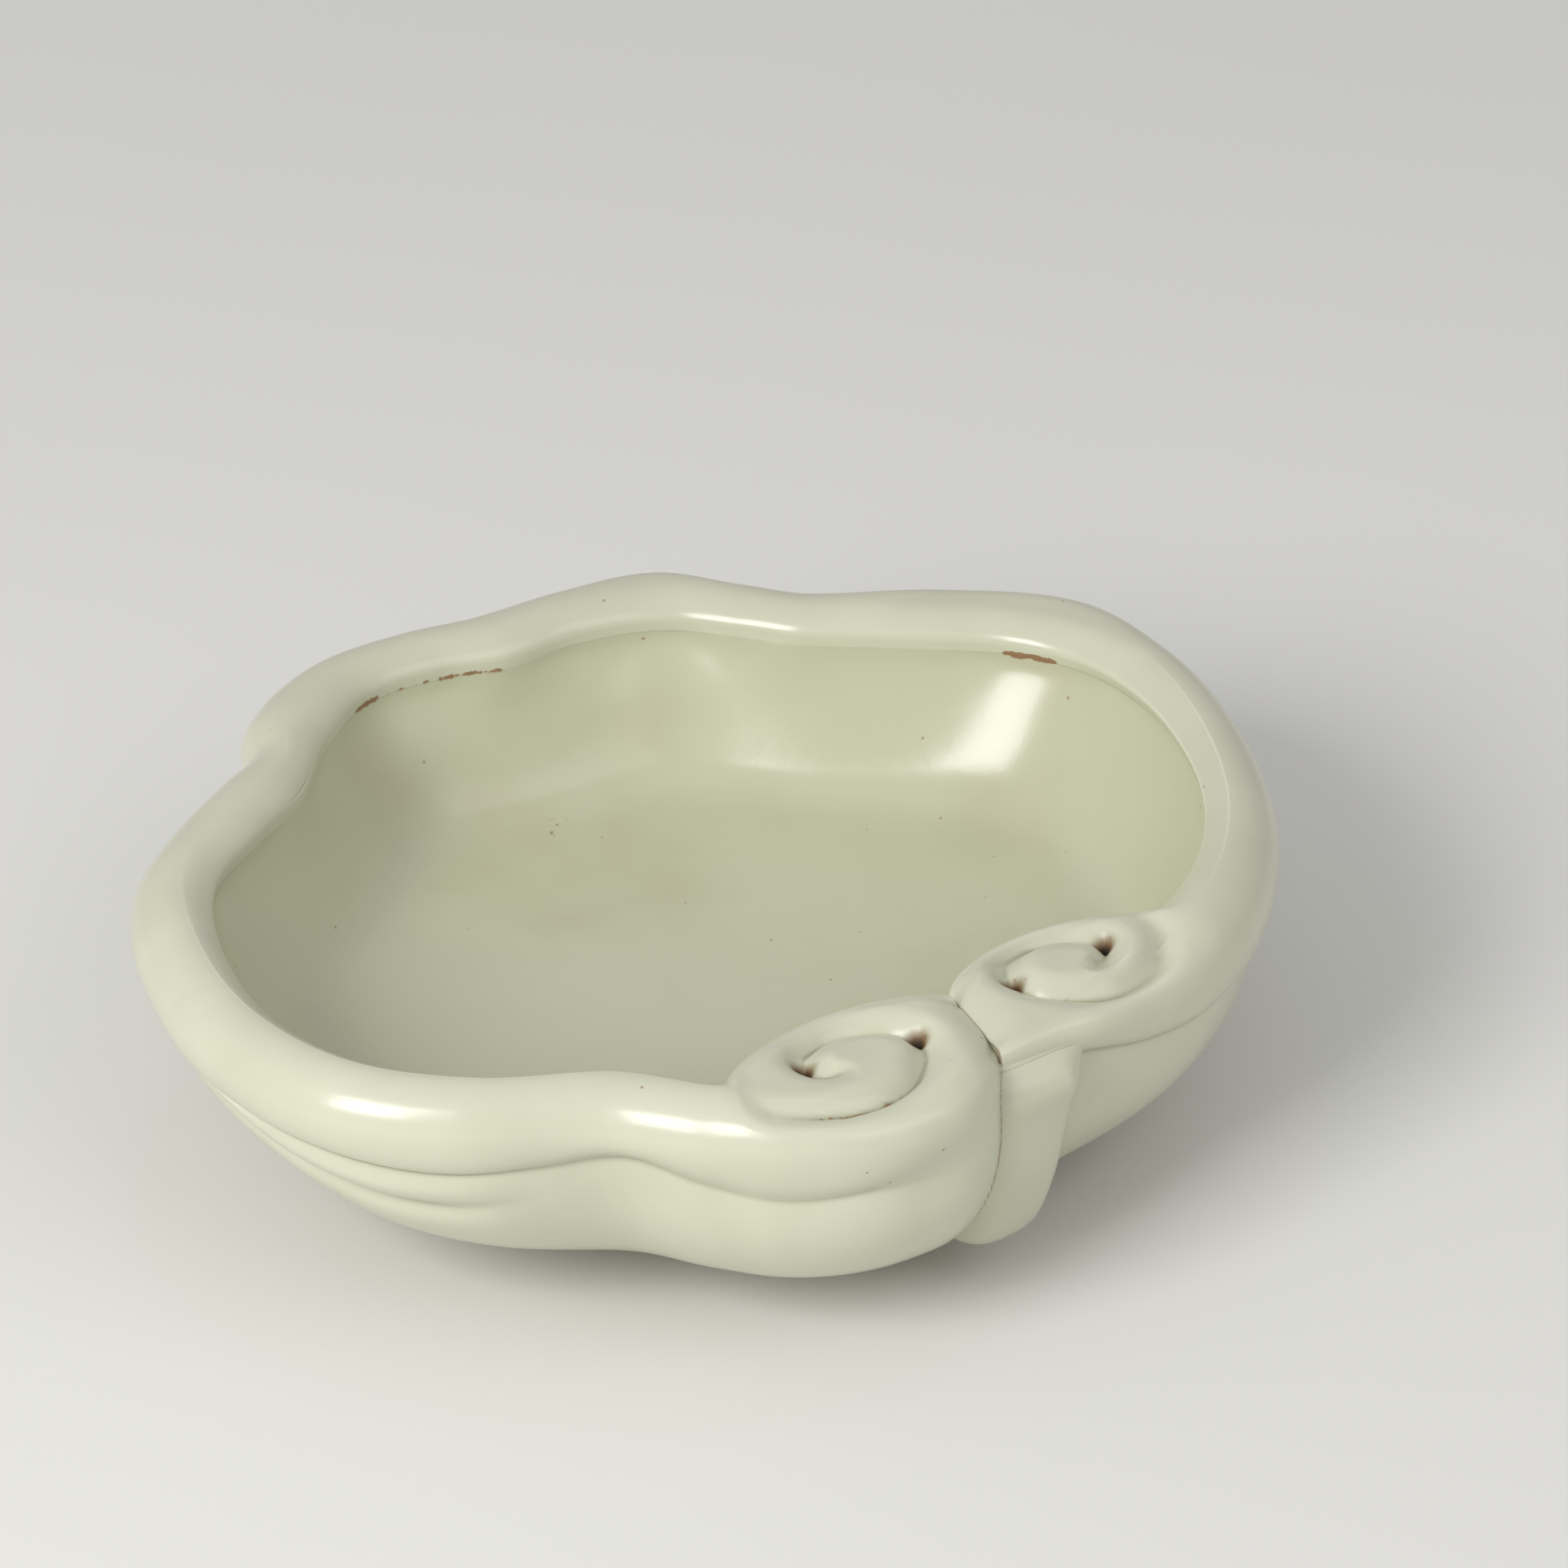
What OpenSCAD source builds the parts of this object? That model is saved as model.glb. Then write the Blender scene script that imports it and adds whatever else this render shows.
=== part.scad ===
// Brush washer in the shape of a fungus head: a shallow lobed bowl with a rolled rim that curls
// into two scrolls at the front, with a short stalk hanging where the scrolls meet.
// It is one fired body. The pieces below are the clay pieces that are luted together before firing.
// Millimetres, +Z up, the table is z = 0, the scrolls and the stalk face -Y.

/* [Outline] */
// Reach of the lip from the pole of the outline, where it dips between the lobes
lip_r = 78.5; // [77:0.5:80]
// How far the right lobe of the lip stands out from that
right_lobe = 14.5; // [12:0.5:17]
// How far the back lobe of the lip stands out
back_lobe = 7.5; // [5:0.5:10]
// How far the left lobe of the lip stands out
left_lobe = 18; // [15:0.5:20]
// Reach of the outer edge at the crease between the scrolls
front_r = 84; // [83:0.5:85]
// How far the left scroll's front stands out from that
left_front = 14; // [12:0.5:16]
// How far the right scroll's front stands out from that
right_front = 10.5; // [9:0.5:12]

/* [Bowl] */
// Height of the inner lip above the table
lip_z = 52; // [48:1:60]
// Depth of the inside, from the lip down to the middle of the floor
bowl_deep = 31; // [28:0.5:34]
// How much lower the middle of the floor lies than its edge
floor_dish = 3; // [1:0.5:5]
// How far the floor's edge lies inside the lip, where the lip dips between the lobes
floor_in = 12; // [10:0.5:14]
// Share of the lobes' swell that the floor's edge keeps
floor_lobe = 0.45; // [0.3:0.05:0.7]
// How much nearer to the pole the floor's edge comes at the crease than at the notches
floor_front = 3; // [0:0.5:6]
// How far the inside wall stands in from a plain quarter curve, so that it leans outwards to the lip
lean = 3.5; // [1:0.5:4.5]
// Radius of the flat underside of the floor slab
base_r = 52; // [49:0.5:56]
// How far the outer wall bellies out at the front, under the scrolls
front_belly = 4; // [0:0.5:6]
// How far the outer wall draws in on the left side
side_tuck = 4; // [0:0.5:6]
// Depth of the second groove, under a growth fold below the roll on the left side
fold_deep = 2.5; // [0:0.5:3]

/* [Rim roll] */
// Width of the rolled rim, seen from above, at its plainest stretch
roll_w = 16; // [14:0.5:18]
// Height of the roll's crest above the lip
crest_h = 4; // [2:0.5:5]
// Distance from the lip to the crest
crest_in = 7; // [5:0.5:9]
// Width of the rounded outer shoulder of the roll
shoulder_w = 9; // [7:0.5:10]
// Drop from the crest to the roll's widest line
shoulder_h = 9; // [7:0.5:10]
// Drop from the lip to the groove under the roll, where it is plain
groove_drop = 11; // [9:0.5:12]
// Depth of the groove under the roll
groove_in = 3; // [1.5:0.5:4]
// How far from the crease that groove begins to run out, in degrees round the bowl
groove_run = 14; // [10:0.5:18]
// How far the lip overhangs the inside wall
lip_over = 0.8; // [0.4:0.1:1.5]
// Depth of the lip's edge on the inside, down to the seam with the wall
lip_t = 2.5; // [1.5:0.5:4]
// Depth of the pinch in the rim's outer edge, at the back on the left
pinch = 3; // [0:0.5:4]

/* [Scrolls] */
// Half of the left scroll oval's length, from the notch to the crease
scroll_a = 27; // [26:0.5:29]
// Half of the left scroll oval's depth, front to back
scroll_b = 14; // [12:0.5:15]
// Half of the right scroll oval's length
right_a = 24; // [23:0.5:26]
// Half of the right scroll oval's depth
right_b = 15; // [13:0.5:16]
// Distance of the left scroll oval's middle from the junction of the two ovals
scroll_x = 24; // [23:0.5:25]
// Distance of the left scroll oval's middle in front of the pole of the outline
scroll_y = 69; // [67:0.5:71]
// How much lower the scrolls' tops lie than the roll's crest
scroll_low = 1; // [0:0.5:1.5]
// Reach of the spiral groove from the bulb, at its start by the notch
spiral_r = 25; // [24:0.5:26]
// How far to the left of its oval's middle the left bulb lies
bulb_out = 4; // [2:0.5:5]
// How far in front of its oval's middle the left bulb lies
bulb_front = 2.5; // [1:0.5:4]
// Depth of the spiral groove
spiral_deep = 3; // [1:0.2:3.4]
// Distance over which a turn of the scroll rounds down into the groove
spiral_w = 4.5; // [3:0.5:5]
// Extra depth of the two pits in each spiral
pit_deep = 1.5; // [0.5:0.5:2.5]
// Radius of a pit
pit_r = 2; // [1.5:0.5:3]
// Distance from the lip at which the carving reaches its full depth
lip_fade = 5; // [4:0.5:7]
// Distance from the front edge at which it does so
edge_fade = 5; // [4:0.5:7]
// How far left of straight ahead the crease between the scrolls meets the front edge, in degrees
crease_slant = 3.5; // [0:0.5:5]
// Depth of the crease
crease_deep = 3; // [1:0.5:4]
// Distance over which a scroll's end rounds down into the crease
crease_w = 8; // [5:0.5:10]
// Extra depth of a scroll's back edge, where it overhangs the inside
scroll_t = 4; // [2:0.5:5]
// Thickness of the wall's top edge under a scroll
scroll_seat = 10; // [8:0.5:12]

/* [Stalk] */
// Width of the stalk, as an angle round the bowl in degrees
stalk_turn = 12; // [10:0.5:14]
// How far the stalk stands out from the wall along its length
stalk_out = 2.5; // [2:0.5:4]
// How far the stalk's lower end stands out from the wall
stalk_tip = 13.5; // [12:0.5:16]
// Thickness of the stalk's edge
stalk_edge = 0.8; // [0.5:0.1:1.2]
// How far round the curve of the wall the stalk runs, in degrees
stalk_reach = 65; // [61:1:75]

/* [Foot ring] */
// Outer radius of the foot ring
foot_r = 47; // [44:0.5:48]
// Width of the foot ring
foot_w = 6; // [4:0.5:9]
// Height of the foot ring
foot_h = 8; // [6:0.5:9]
// Bevel on the foot ring's lower edges
foot_bevel = 1; // [0.5:0.5:1.5]

/* [Hidden] */

glaze = "#c9cbb4";
biscuit = "#a9825c";

// The pole of the outline, measured from the middle of the washer's box.
pole = [0.4, -3.6];

// Columns in each scroll and in the rim, and rows in each stretch of the section.
n_scroll = 34;
n_rim = 72;
n_top = 16;
n_shoulder = 6;
n_side = 4;
n_inside = 6;
n_dish = 3;
n_all = 2 * n_scroll + n_rim;

// Rows of the outer wall, in degrees of its curve from the groove to the base.
wall_rows = [0, 4, 8, 11, 13.5, 16, 20, 29, 38, 47, 55, 61, 65, 73, 81, 90];

// Lobes of the rim, anticlockwise from the right notch: angle round the pole, share of the lobe's
// swell that the lip has there, and share of the roll's plain width.
right_rows = [
    [-35, 0.35, 0.87], [-15, 0.69, 0.85], [5, 1, 1], [16, 0.86, 1.28], [29, 0.31, 1.25], [43, 0, 1]
];
back_rows = [
    [52, 0.27, 1.03], [61, 0.73, 1.15], [72, 0.6, 1.03], [83, 0.2, 1.06], [92, 0.67, 1],
    [102, 1, 1], [112, 0.6, 1.09], [127, 0, 1.03]
];
left_rows = [
    [138, 0.22, 1.03], [150, 0.64, 0.97], [165, 0.86, 0.88], [180, 1, 0.85], [193, 0.92, 0.87],
    [205, 0.53, 0.87], [219, -0.05, 0.9]
];
// The roll's outside, all the way round from the crease: angle, share of the groove's drop, and share
// of the shoulder's height. The roll is thinnest beside the stalk.
side_rows = [
    [-96, 0.55, 0.62], [-82, 0.55, 0.62], [-70, 0.95, 0.85], [-58, 1.1, 1], [-40, 1, 1], [0, 0.9, 1],
    [160, 0.9, 1], [190, 0.95, 1], [203, 1.1, 1], [213, 0.97, 1], [222, 0.78, 1], [231, 1.08, 1],
    [240, 1.2, 1], [250, 1.05, 1], [262, 0.95, 1], [270, 0.95, 1]
];
// The scrolls' front edge: degrees from the crease, and share of its swell.
front_right = [[0, 0], [8, 0.05], [14, 0.24], [22, 0.43], [32, 0.76], [42, 1]];
front_left = [[35, 0.71], [27, 0.93], [17, 1], [9, 0.79], [3, 0.39], [0, 0]];
// The spiral groove: turn from the notch in degrees, and its reach from the bulb as a share of its
// reach at the start.
spiral_left = [
    [-90, 1.2], [-20, 1.04], [0, 0.94], [45, 0.62], [90, 0.5], [135, 0.49], [180, 0.56], [225, 0.43],
    [270, 0.35], [315, 0.33], [360, 0.26], [405, 0.16], [450, 0.12], [540, 0.08]
];
spiral_right = [
    [-90, 0.9], [-20, 0.82], [0, 0.76], [45, 0.52], [90, 0.4], [135, 0.38], [180, 0.43], [225, 0.45],
    [270, 0.41], [315, 0.39], [340, 0.4], [380, 0.24], [450, 0.17], [540, 0.12]
];
// Share of the groove's drop at the crease, angle of the pinch and of the first and second pit, and how
// far round the groove runs out.
crease_drop = 0.53;
pinch_at = 122.5;
pit_turns = [182, 332];
spiral_end = 500;

// Smooth curve through the rows of a table: x is in column 0 and the value in column c.
function row_of(k, x, i = 0) = i >= len(k) - 2 || x < k[i + 1][0] ? i : row_of(k, x, i + 1);
function slope(k, i, c) =
    let (a = max(i - 1, 0), b = min(i + 1, len(k) - 1))
    (k[b][c] - k[a][c]) / (k[b][0] - k[a][0]);
function curve(k, x, c = 1) =
    let (i = row_of(k, x), h = k[i + 1][0] - k[i][0], t = (x - k[i][0]) / h)
    (1 + 2 * t) * (1 - t) ^ 2 * k[i][c] + t * (1 - t) ^ 2 * h * slope(k, i, c)
    + t ^ 2 * (3 - 2 * t) * k[i + 1][c] + t ^ 2 * (t - 1) * h * slope(k, i + 1, c);
function ramp(t) = let (u = min(max(t, 0), 1)) u * u * (3 - 2 * u);
function polar(a, r) = r * [cos(a), sin(a)];

// The scrolls' ovals, left (-1) and right (1), both pass through the junction at x = 0. A notch is
// where a line from the pole just touches an oval.
psi_crease = acos(-scroll_x / scroll_a);
junction = [0, scroll_b * sin(psi_crease) - scroll_y];
function half(side) = side < 0 ? [scroll_a, scroll_b] : [right_a, right_b];
function from_mid(side, psi) = [side * half(side).x * cos(psi), half(side).y * sin(psi)];
function oval_mid(side) = junction - from_mid(side, psi_crease);
function oval(side, psi) = oval_mid(side) + from_mid(side, psi);
function psi_notch(side) =
    let (deep = -oval_mid(side).y / half(side).y)
    atan2(deep, cos(psi_crease)) - acos(1 / norm([cos(psi_crease), deep]));
function notch(side) = oval(side, psi_notch(side));
right_at = atan2(notch(1).y, notch(1).x);
left_at = 360 + atan2(notch(-1).y, notch(-1).x);
crease_at = -90 - crease_slant;

lobes = concat(
    [for (l = right_rows) [l[0], lip_r + right_lobe * l[1], roll_w * l[2]]],
    [for (l = back_rows) [l[0], lip_r + back_lobe * l[1], roll_w * l[2]]],
    [for (l = left_rows) [l[0], lip_r + left_lobe * l[1], roll_w * l[2]]]
);
lip_rows = concat([[right_at, norm(notch(1))]], lobes, [[left_at, norm(notch(-1))]]);
edge_rows = concat(
    [for (f = front_right) [crease_at + f[0], front_r + right_front * f[1]]],
    [for (l = lobes) [l[0], l[1] + l[2]]],
    [for (f = front_left) [360 + crease_at - f[0], front_r + left_front * f[1]]]
);
function edge_reach(a) = curve(edge_rows, a) - pinch * exp(-((a - pinch_at) / 4) ^ 2);

// One column of the body: lip point, unit vector outwards to the edge, width, angle, share of the
// way from notch to crease (0 on the rim), and side (-1 left, 1 right).
function column(lip, a, s, side) =
    let (edge = polar(a, edge_reach(a)), w = norm(edge - lip))
    [lip, (edge - lip) / w, w, a, s, side];
function scroll_column(s, side, from, to) =
    let (psi = psi_notch(side) + (psi_crease - psi_notch(side)) * s)
    column(oval(side, psi), from + (to - from) * s, s, side);
function rim_column(t) =
    let (a = right_at + (left_at - right_at) * t)
    column(polar(a, curve(lip_rows, a)), a, 0, a < 90 ? 1 : -1);

columns = concat(
    [for (i = [0:n_scroll - 1]) scroll_column(1 - i / n_scroll, 1, right_at, crease_at)],
    [for (i = [0:n_rim]) rim_column(i / n_rim)],
    [for (i = [1:n_scroll]) scroll_column(i / n_scroll, -1, left_at, 360 + crease_at)]
);

// A point of a column, q outwards from the lip and z above it.
function at(c, q, z) =
    let (p = c[0] + q * c[1] + pole)
    [p.x, p.y, lip_z + z];

// Drop from the lip to the groove under the roll, the same on both sides of the crease, and drop from
// the crest to the roll's widest line.
function from_crease(a) = min(a - crease_at, 360 + crease_at - a);
function drop(a) =
    groove_drop * (crease_drop + (curve(side_rows, a, 1) - crease_drop) * ramp(from_crease(a) / 8));
function shoulder(a) = shoulder_h * curve(side_rows, a, 2);

// Depth of that groove, which runs out towards the crease on both sides.
function tuck(a) = groove_in * ramp(from_crease(a) / groove_run);

// The crease runs from the junction of the two ovals to the front edge.
crease_way = (polar(crease_at, front_r) - junction) / norm(polar(crease_at, front_r) - junction);

// Spiral groove, pits and crease of a scroll, as a drop below the plain cushion at a plan point.
function groove_cut(d) = spiral_deep * max(0, 1 - abs(d) / spiral_w) ^ 2.2;
function fade(turn) = ramp((spiral_end - turn) / 90) * ramp((turn + 20) / 40);
function scroll_drop(p, side) =
    let (
        k = side < 0 ? spiral_left : spiral_right,
        v = p - oval_mid(side) + (side < 0 ? [bulb_out, bulb_front] : [0, 0]),
        r = norm(v),
        turn = (atan2(-v.y, side * v.x) + 360) % 360,
        cut = max([for (t = [turn - 360, turn, turn + 360])
            t > -90 && t < 540 ? groove_cut(r - spiral_r * curve(k, t)) * fade(t) : 0]),
        pits = [for (t = pit_turns)
            let (q = spiral_r * curve(k, t) * [side * cos(t), -sin(t)])
            pit_deep * exp(-(norm(v - q) / pit_r) ^ 2)],
        crease = crease_deep * max(0, 1 - abs(cross(p - junction, crease_way)) / crease_w) ^ 2
    )
    cut + pits[0] + pits[1] + crease;

// The roll's section: up from the lip to the crest, over the shoulder, and down to the groove.
function crest(q) = crest_h * (1 - (1 - min(q / crest_in, 1)) ^ 2);
function roll_top(c) =
    let (flat = c[2] - shoulder_w, high = crest(flat), round = shoulder(c[3]), wide = high - round)
    concat(
        [for (i = [0:n_top]) let (q = flat * i / n_top) [q, crest(q)]],
        [for (i = [1:n_shoulder]) let (b = 90 * i / n_shoulder)
            [flat + shoulder_w * sin(b), high - round * (1 - cos(b))]],
        [for (i = [1:n_side]) let (b = 90 * i / n_side)
            [c[2] - tuck(c[3]) * (1 - cos(b)), wide - (drop(c[3]) + wide) * sin(b)]]
    );
// The spiral is carved into the top only, and fades at the lip, at the front edge and at the notch.
function carved(c, s) =
    let (p = c[0] + s[0] * c[1],
         keep = ramp(s[0] / lip_fade) * ramp((c[2] - s[0]) / edge_fade) * ramp(c[4] / 0.1))
    [s[0], s[1] - (c[4] > 0 ? keep * (scroll_low + scroll_drop(p, c[5])) : 0)];
// The seam with the wall, on the inside: close under the lip along the rim, and set back under a scroll.
function seam(c) =
    let (k = ramp(4 * c[4]), back = c[2] - tuck(c[3]) - scroll_seat - lip_over)
    [lip_over + k * max(0, back), -lip_t - k * scroll_t];
function roll_section(c) =
    let (s = seam(c), k = ramp(4 * c[4]), top = roll_top(c))
    concat(
        [for (j = [0:len(top) - 1])
            let (p = j > n_top + n_shoulder ? top[j] : carved(c, top[j])) at(c, p[0], p[1])],
        [at(c, s[0], s[1]), at(c, lip_over / 2, -lip_t / 2 - k * scroll_t / 2)]
    );

// The wall's section: outside from the groove to the base, inside from the floor's edge to the lip.
function wall_belly(a) =
    front_belly * exp(-((a < 90 ? a + 110 : a - 250) / 25) ^ 2) - side_tuck * exp(-((a - 178) / 18) ^ 2);
function fold(a, b) =
    fold_deep * exp(-((a - 196) / 14) ^ 2) * (exp(-((b - 13.5) / 3) ^ 2) - 0.4 * exp(-((b - 6) / 4) ^ 2));
function groove_point(c) = at(c, c[2] - tuck(c[3]), -drop(c[3]));
function base_point(c) = concat(polar(c[3], base_r) + pole, [foot_h]);
function outer_wall(c, b) =
    let (g = groove_point(c), e = base_point(c), push = wall_belly(c[3]) * sin(2 * b) - fold(c[3], b))
    [
        g.x + (e.x - g.x) * (1 - cos(b)) + push * c[1].x,
        g.y + (e.y - g.y) * (1 - cos(b)) + push * c[1].y,
        g.z + (e.z - g.z) * sin(b)
    ];
floor_edge = floor_dish - bowl_deep;
function calm(p) = lip_r + floor_lobe * (norm(p) - lip_r);
floor_notch = (calm(notch(1)) + calm(notch(-1))) / 2;
function floor_reach(c) =
    c[4] > 0 ? let (n = calm(notch(c[5]))) n + (floor_notch - floor_front - n) * c[4] : calm(c[0]);
function floor_point(c) = polar(c[3], floor_reach(c) - floor_in) + pole;
function inner_wall(c, b) =
    let (s = seam(c), g = at(c, s[0], s[1]), f = floor_point(c), push = -lean * sin(2 * b))
    [
        g.x + (f.x - g.x) * (1 - cos(b)) + push * cos(c[3]),
        g.y + (f.y - g.y) * (1 - cos(b)) + push * sin(c[3]),
        g.z + (lip_z + floor_edge - g.z) * sin(b)
    ];
function wall_section(c) = concat(
    [for (b = wall_rows) outer_wall(c, b)],
    [for (i = [n_inside:-1:0]) inner_wall(c, 90 * i / n_inside)]
);

// Triangles between the points j and l of columns i and k, on a section of m points. Where two pieces
// share a seam, one of them turns its diagonals, so that both have the same triangles there.
function strip(i, k, j, l, m) =
    let (a = i * m + j, b = k * m + j, c = k * m + l, d = i * m + l)
    [[a, b, c], [a, c, d]];
function turned_strip(i, k, j, l, m) =
    let (a = i * m + j, b = k * m + j, c = k * m + l, d = i * m + l)
    [[a, b, d], [b, c, d]];
function band(n, m, closed, turn) =
    [for (i = [0:n - 1], j = [0:m - 1]) let (k = closed ? (i + 1) % n : i + 1, l = (j + 1) % m)
        each j < turn ? strip(i, k, j, l, m) : turned_strip(i, k, j, l, m)];

// Ends of a run of n sections: a fan round a middle point that follows the sections' own points, or a
// ladder between the two halves of the section.
function fan_ends(n, m) =
    [for (j = [0:m - 1]) let (f = n * m, a = f + m, k = (j + 1) % m)
        each [[a, j, k], [a + 1, f + k, f + j]]];
function ladder_ends(n, m) =
    [for (j = [0:m / 2 - 2]) let (f = n * m, a = j, b = j + 1, c = m - 2 - j, d = m - 1 - j)
        each [[a, b, c], [a, c, d], [f + a, f + c, f + b], [f + a, f + d, f + c]]];

module roll(from, to) {
    m = len(roll_section(columns[from]));
    points = concat(
        [for (i = [from:to]) each roll_section(columns[i])],
        [for (i = [from, to]) at(columns[i], columns[i][2] / 2, -lip_t)]
    );
    faces = concat(band(to - from, m, false, m), fan_ends(to - from, m));
    color(glaze) polyhedron(points, faces, convexity = 10);
}

module rim_roll() roll(n_scroll, n_scroll + n_rim);

module right_scroll() roll(0, n_scroll);

module left_scroll() roll(n_scroll + n_rim, n_all);

module bowl_wall() {
    m = len(wall_section(columns[0]));
    points = [for (i = [0:n_all - 1]) each wall_section(columns[i])];
    color(glaze) polyhedron(points, band(n_all, m, true, m - 1), convexity = 10);
}

// The floor slab fills the hole in the wall: dished on top, flat below, and joined along a sloped edge.
module floor_slab() {
    floor_z = lip_z + floor_edge;
    function dish(c, k) =
        let (e = inner_wall(c, 90), t = k / n_dish)
        [pole.x + (e.x - pole.x) * t, pole.y + (e.y - pole.y) * t, floor_z - floor_dish * (1 - t * t)];
    m = n_dish + 1;
    points = concat(
        [for (i = [0:n_all - 1]) each concat([base_point(columns[i])],
            [for (k = [n_dish:-1:1]) dish(columns[i], k)])],
        [[pole.x, pole.y, floor_z - floor_dish], [pole.x, pole.y, foot_h]]
    );
    top = n_all * m;
    faces = concat(
        [for (i = [0:n_all - 1], j = [0:m - 2])
            each [for (f = strip(i, (i + 1) % n_all, j, j + 1, m)) [f[0], f[2], f[1]]]],
        [for (i = [0:n_all - 1]) let (k = (i + 1) % n_all) [k * m + m - 1, i * m + m - 1, top]],
        [for (i = [0:n_all - 1]) let (k = (i + 1) % n_all) [i * m, k * m, top + 1]]
    );
    color(glaze) polyhedron(points, faces, convexity = 10);
}

// The stalk lies on the roll's side and the wall, right of the crease. It swells out from them under the
// roll, hangs almost straight down, and ends in a blunt tip that stands clear of the wall.
module stalk() {
    across = len([for (c = columns) if (c[3] < stalk_turn + crease_at) c]);
    rows = n_side - 1 + len([for (b = wall_rows) if (b <= stalk_reach) b]);
    function seat(c, j) =
        j <= n_side
            ? let (s = roll_top(c)[n_top + n_shoulder + j]) at(c, s[0], s[1])
            : outer_wall(c, wall_rows[j - n_side]);
    function along(j) = j <= n_side ? 0 : wall_rows[j - n_side] / wall_rows[rows - n_side];
    function swell(i, j) =
        sqrt(1 - (2 * i / across - 1) ^ 4) * sqrt(1 - along(j) ^ 10) * ramp(j / 2.5);
    function skin(c, i, j) =
        let (
            hang = 25 * along(j),
            full = stalk_out + (stalk_tip - stalk_out) * along(j) ^ 2.5,
            out = stalk_edge + (full - stalk_edge) * swell(i, j)
        )
        seat(c, j) + out * [cos(c[3]) * cos(hang), sin(c[3]) * cos(hang), -sin(hang)];
    m = 2 * rows + 2;
    points = [for (i = [0:across]) each concat(
        [for (j = [0:rows]) skin(columns[i], i, j)],
        [for (j = [rows:-1:0]) seat(columns[i], j)]
    )];
    faces = concat(band(across, m, false, rows + 1), ladder_ends(across, m));
    color(glaze) polyhedron(points, faces, convexity = 10);
}

module foot_ring() {
    color(biscuit) translate([pole.x, pole.y, 0]) rotate_extrude($fn = 96) polygon([
        [foot_r - foot_w, foot_h], [foot_r - foot_w, foot_bevel], [foot_r - foot_w + foot_bevel, 0],
        [foot_r - foot_bevel, 0], [foot_r, foot_bevel], [foot_r, foot_h]
    ]);
}

foot_ring();
floor_slab();
bowl_wall();
rim_roll();
left_scroll();
right_scroll();
stalk();
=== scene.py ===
# %% [markdown]
# # A brush washer in the shape of a fungus head
# The washer is a shallow bowl of pale green glazed stoneware. Its wall is lobed like the head of a
# fungus, its rim is a thick roll, and at the front the two ends of the roll curl into scrolls above a
# short stalk. The construction gives its solids in true size. This lesson dresses them: each clay piece
# becomes a fine surface that is worked out from a formula, and the glaze is made from nodes.

import bpy
import numpy as np
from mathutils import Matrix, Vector


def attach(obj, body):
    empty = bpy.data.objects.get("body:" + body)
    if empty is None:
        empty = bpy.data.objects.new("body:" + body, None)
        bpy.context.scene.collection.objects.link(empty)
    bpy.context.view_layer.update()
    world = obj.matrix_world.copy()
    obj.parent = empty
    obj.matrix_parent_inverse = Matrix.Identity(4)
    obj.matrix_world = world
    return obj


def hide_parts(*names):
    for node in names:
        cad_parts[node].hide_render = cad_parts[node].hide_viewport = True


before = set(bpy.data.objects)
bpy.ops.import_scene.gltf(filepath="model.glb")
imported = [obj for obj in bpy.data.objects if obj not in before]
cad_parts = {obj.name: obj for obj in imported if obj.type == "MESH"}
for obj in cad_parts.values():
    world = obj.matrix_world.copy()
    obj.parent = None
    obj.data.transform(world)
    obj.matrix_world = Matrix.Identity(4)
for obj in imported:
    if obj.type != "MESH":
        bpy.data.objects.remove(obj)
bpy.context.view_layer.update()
MM = 0.001

# %% [markdown]
# The camera comes first, because every later choice is judged through it. It stands in front and to
# the left, looks down by thirty degrees, and is far away with a long lens, so that the lobes keep their
# proportions. A near camera with a wide lens would swell the scrolls.

# %% Camera
SIGHT = Vector((0.5248, 0.6889, -0.5))
AIM = Vector((0.0347, 0.0254, 0.040))
DISTANCE = 1.7
camera_data = bpy.data.cameras.new("camera")
camera_data.lens = 215.7
camera_data.sensor_width = 36.0
camera = bpy.data.objects.new("camera", camera_data)
camera.location = AIM - SIGHT.normalized() * DISTANCE
camera.rotation_euler = SIGHT.to_track_quat("-Z", "Y").to_euler()
bpy.context.scene.collection.objects.link(camera)
bpy.context.scene.camera = camera
bpy.context.scene.view_settings.view_transform = "Standard"
print("camera at", list(camera.location))

# %% [markdown]
# Two tools carry every outline of the washer. One draws a smooth curve through a few given rows,
# as a potter bends a wire through marks on a board. The other is a soft step from 0 to 1. Blender's
# own curves could do the first, but numbers in an array are easier to combine.


# %% Curves through rows
def smooth_curve(rows, x, column=1):
    """Cubic pieces through rows of (x, values): at each row the slope is that between its neighbours."""
    table = np.asarray(rows, float)
    xs, ys = table[:, 0], table[:, column]
    left = np.r_[0, np.arange(len(xs) - 1)]
    right = np.r_[np.arange(1, len(xs)), len(xs) - 1]
    slope = (ys[right] - ys[left]) / (xs[right] - xs[left])
    i = np.clip(np.searchsorted(xs, x, side="right") - 1, 0, len(xs) - 2)
    h = xs[i + 1] - xs[i]
    t = (x - xs[i]) / h
    return ((1 + 2 * t) * (1 - t) ** 2 * ys[i] + t * (1 - t) ** 2 * h * slope[i]
            + t ** 2 * (3 - 2 * t) * ys[i + 1] + t ** 2 * (t - 1) * h * slope[i + 1])


def ramp(t):
    """Soft step: 0 below 0, 1 above 1, and 3t^2 - 2t^3 between."""
    u = np.clip(t, 0, 1)
    return u * u * (3 - 2 * u)


def polar(degrees, reach):
    """Plan points at an angle and a reach from the pole of the outline."""
    a = np.radians(degrees)
    return np.stack([reach * np.cos(a), reach * np.sin(a)], -1)


def plan_length(v):
    """Length of plan vectors."""
    return np.hypot(v[..., 0], v[..., 1])


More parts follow.
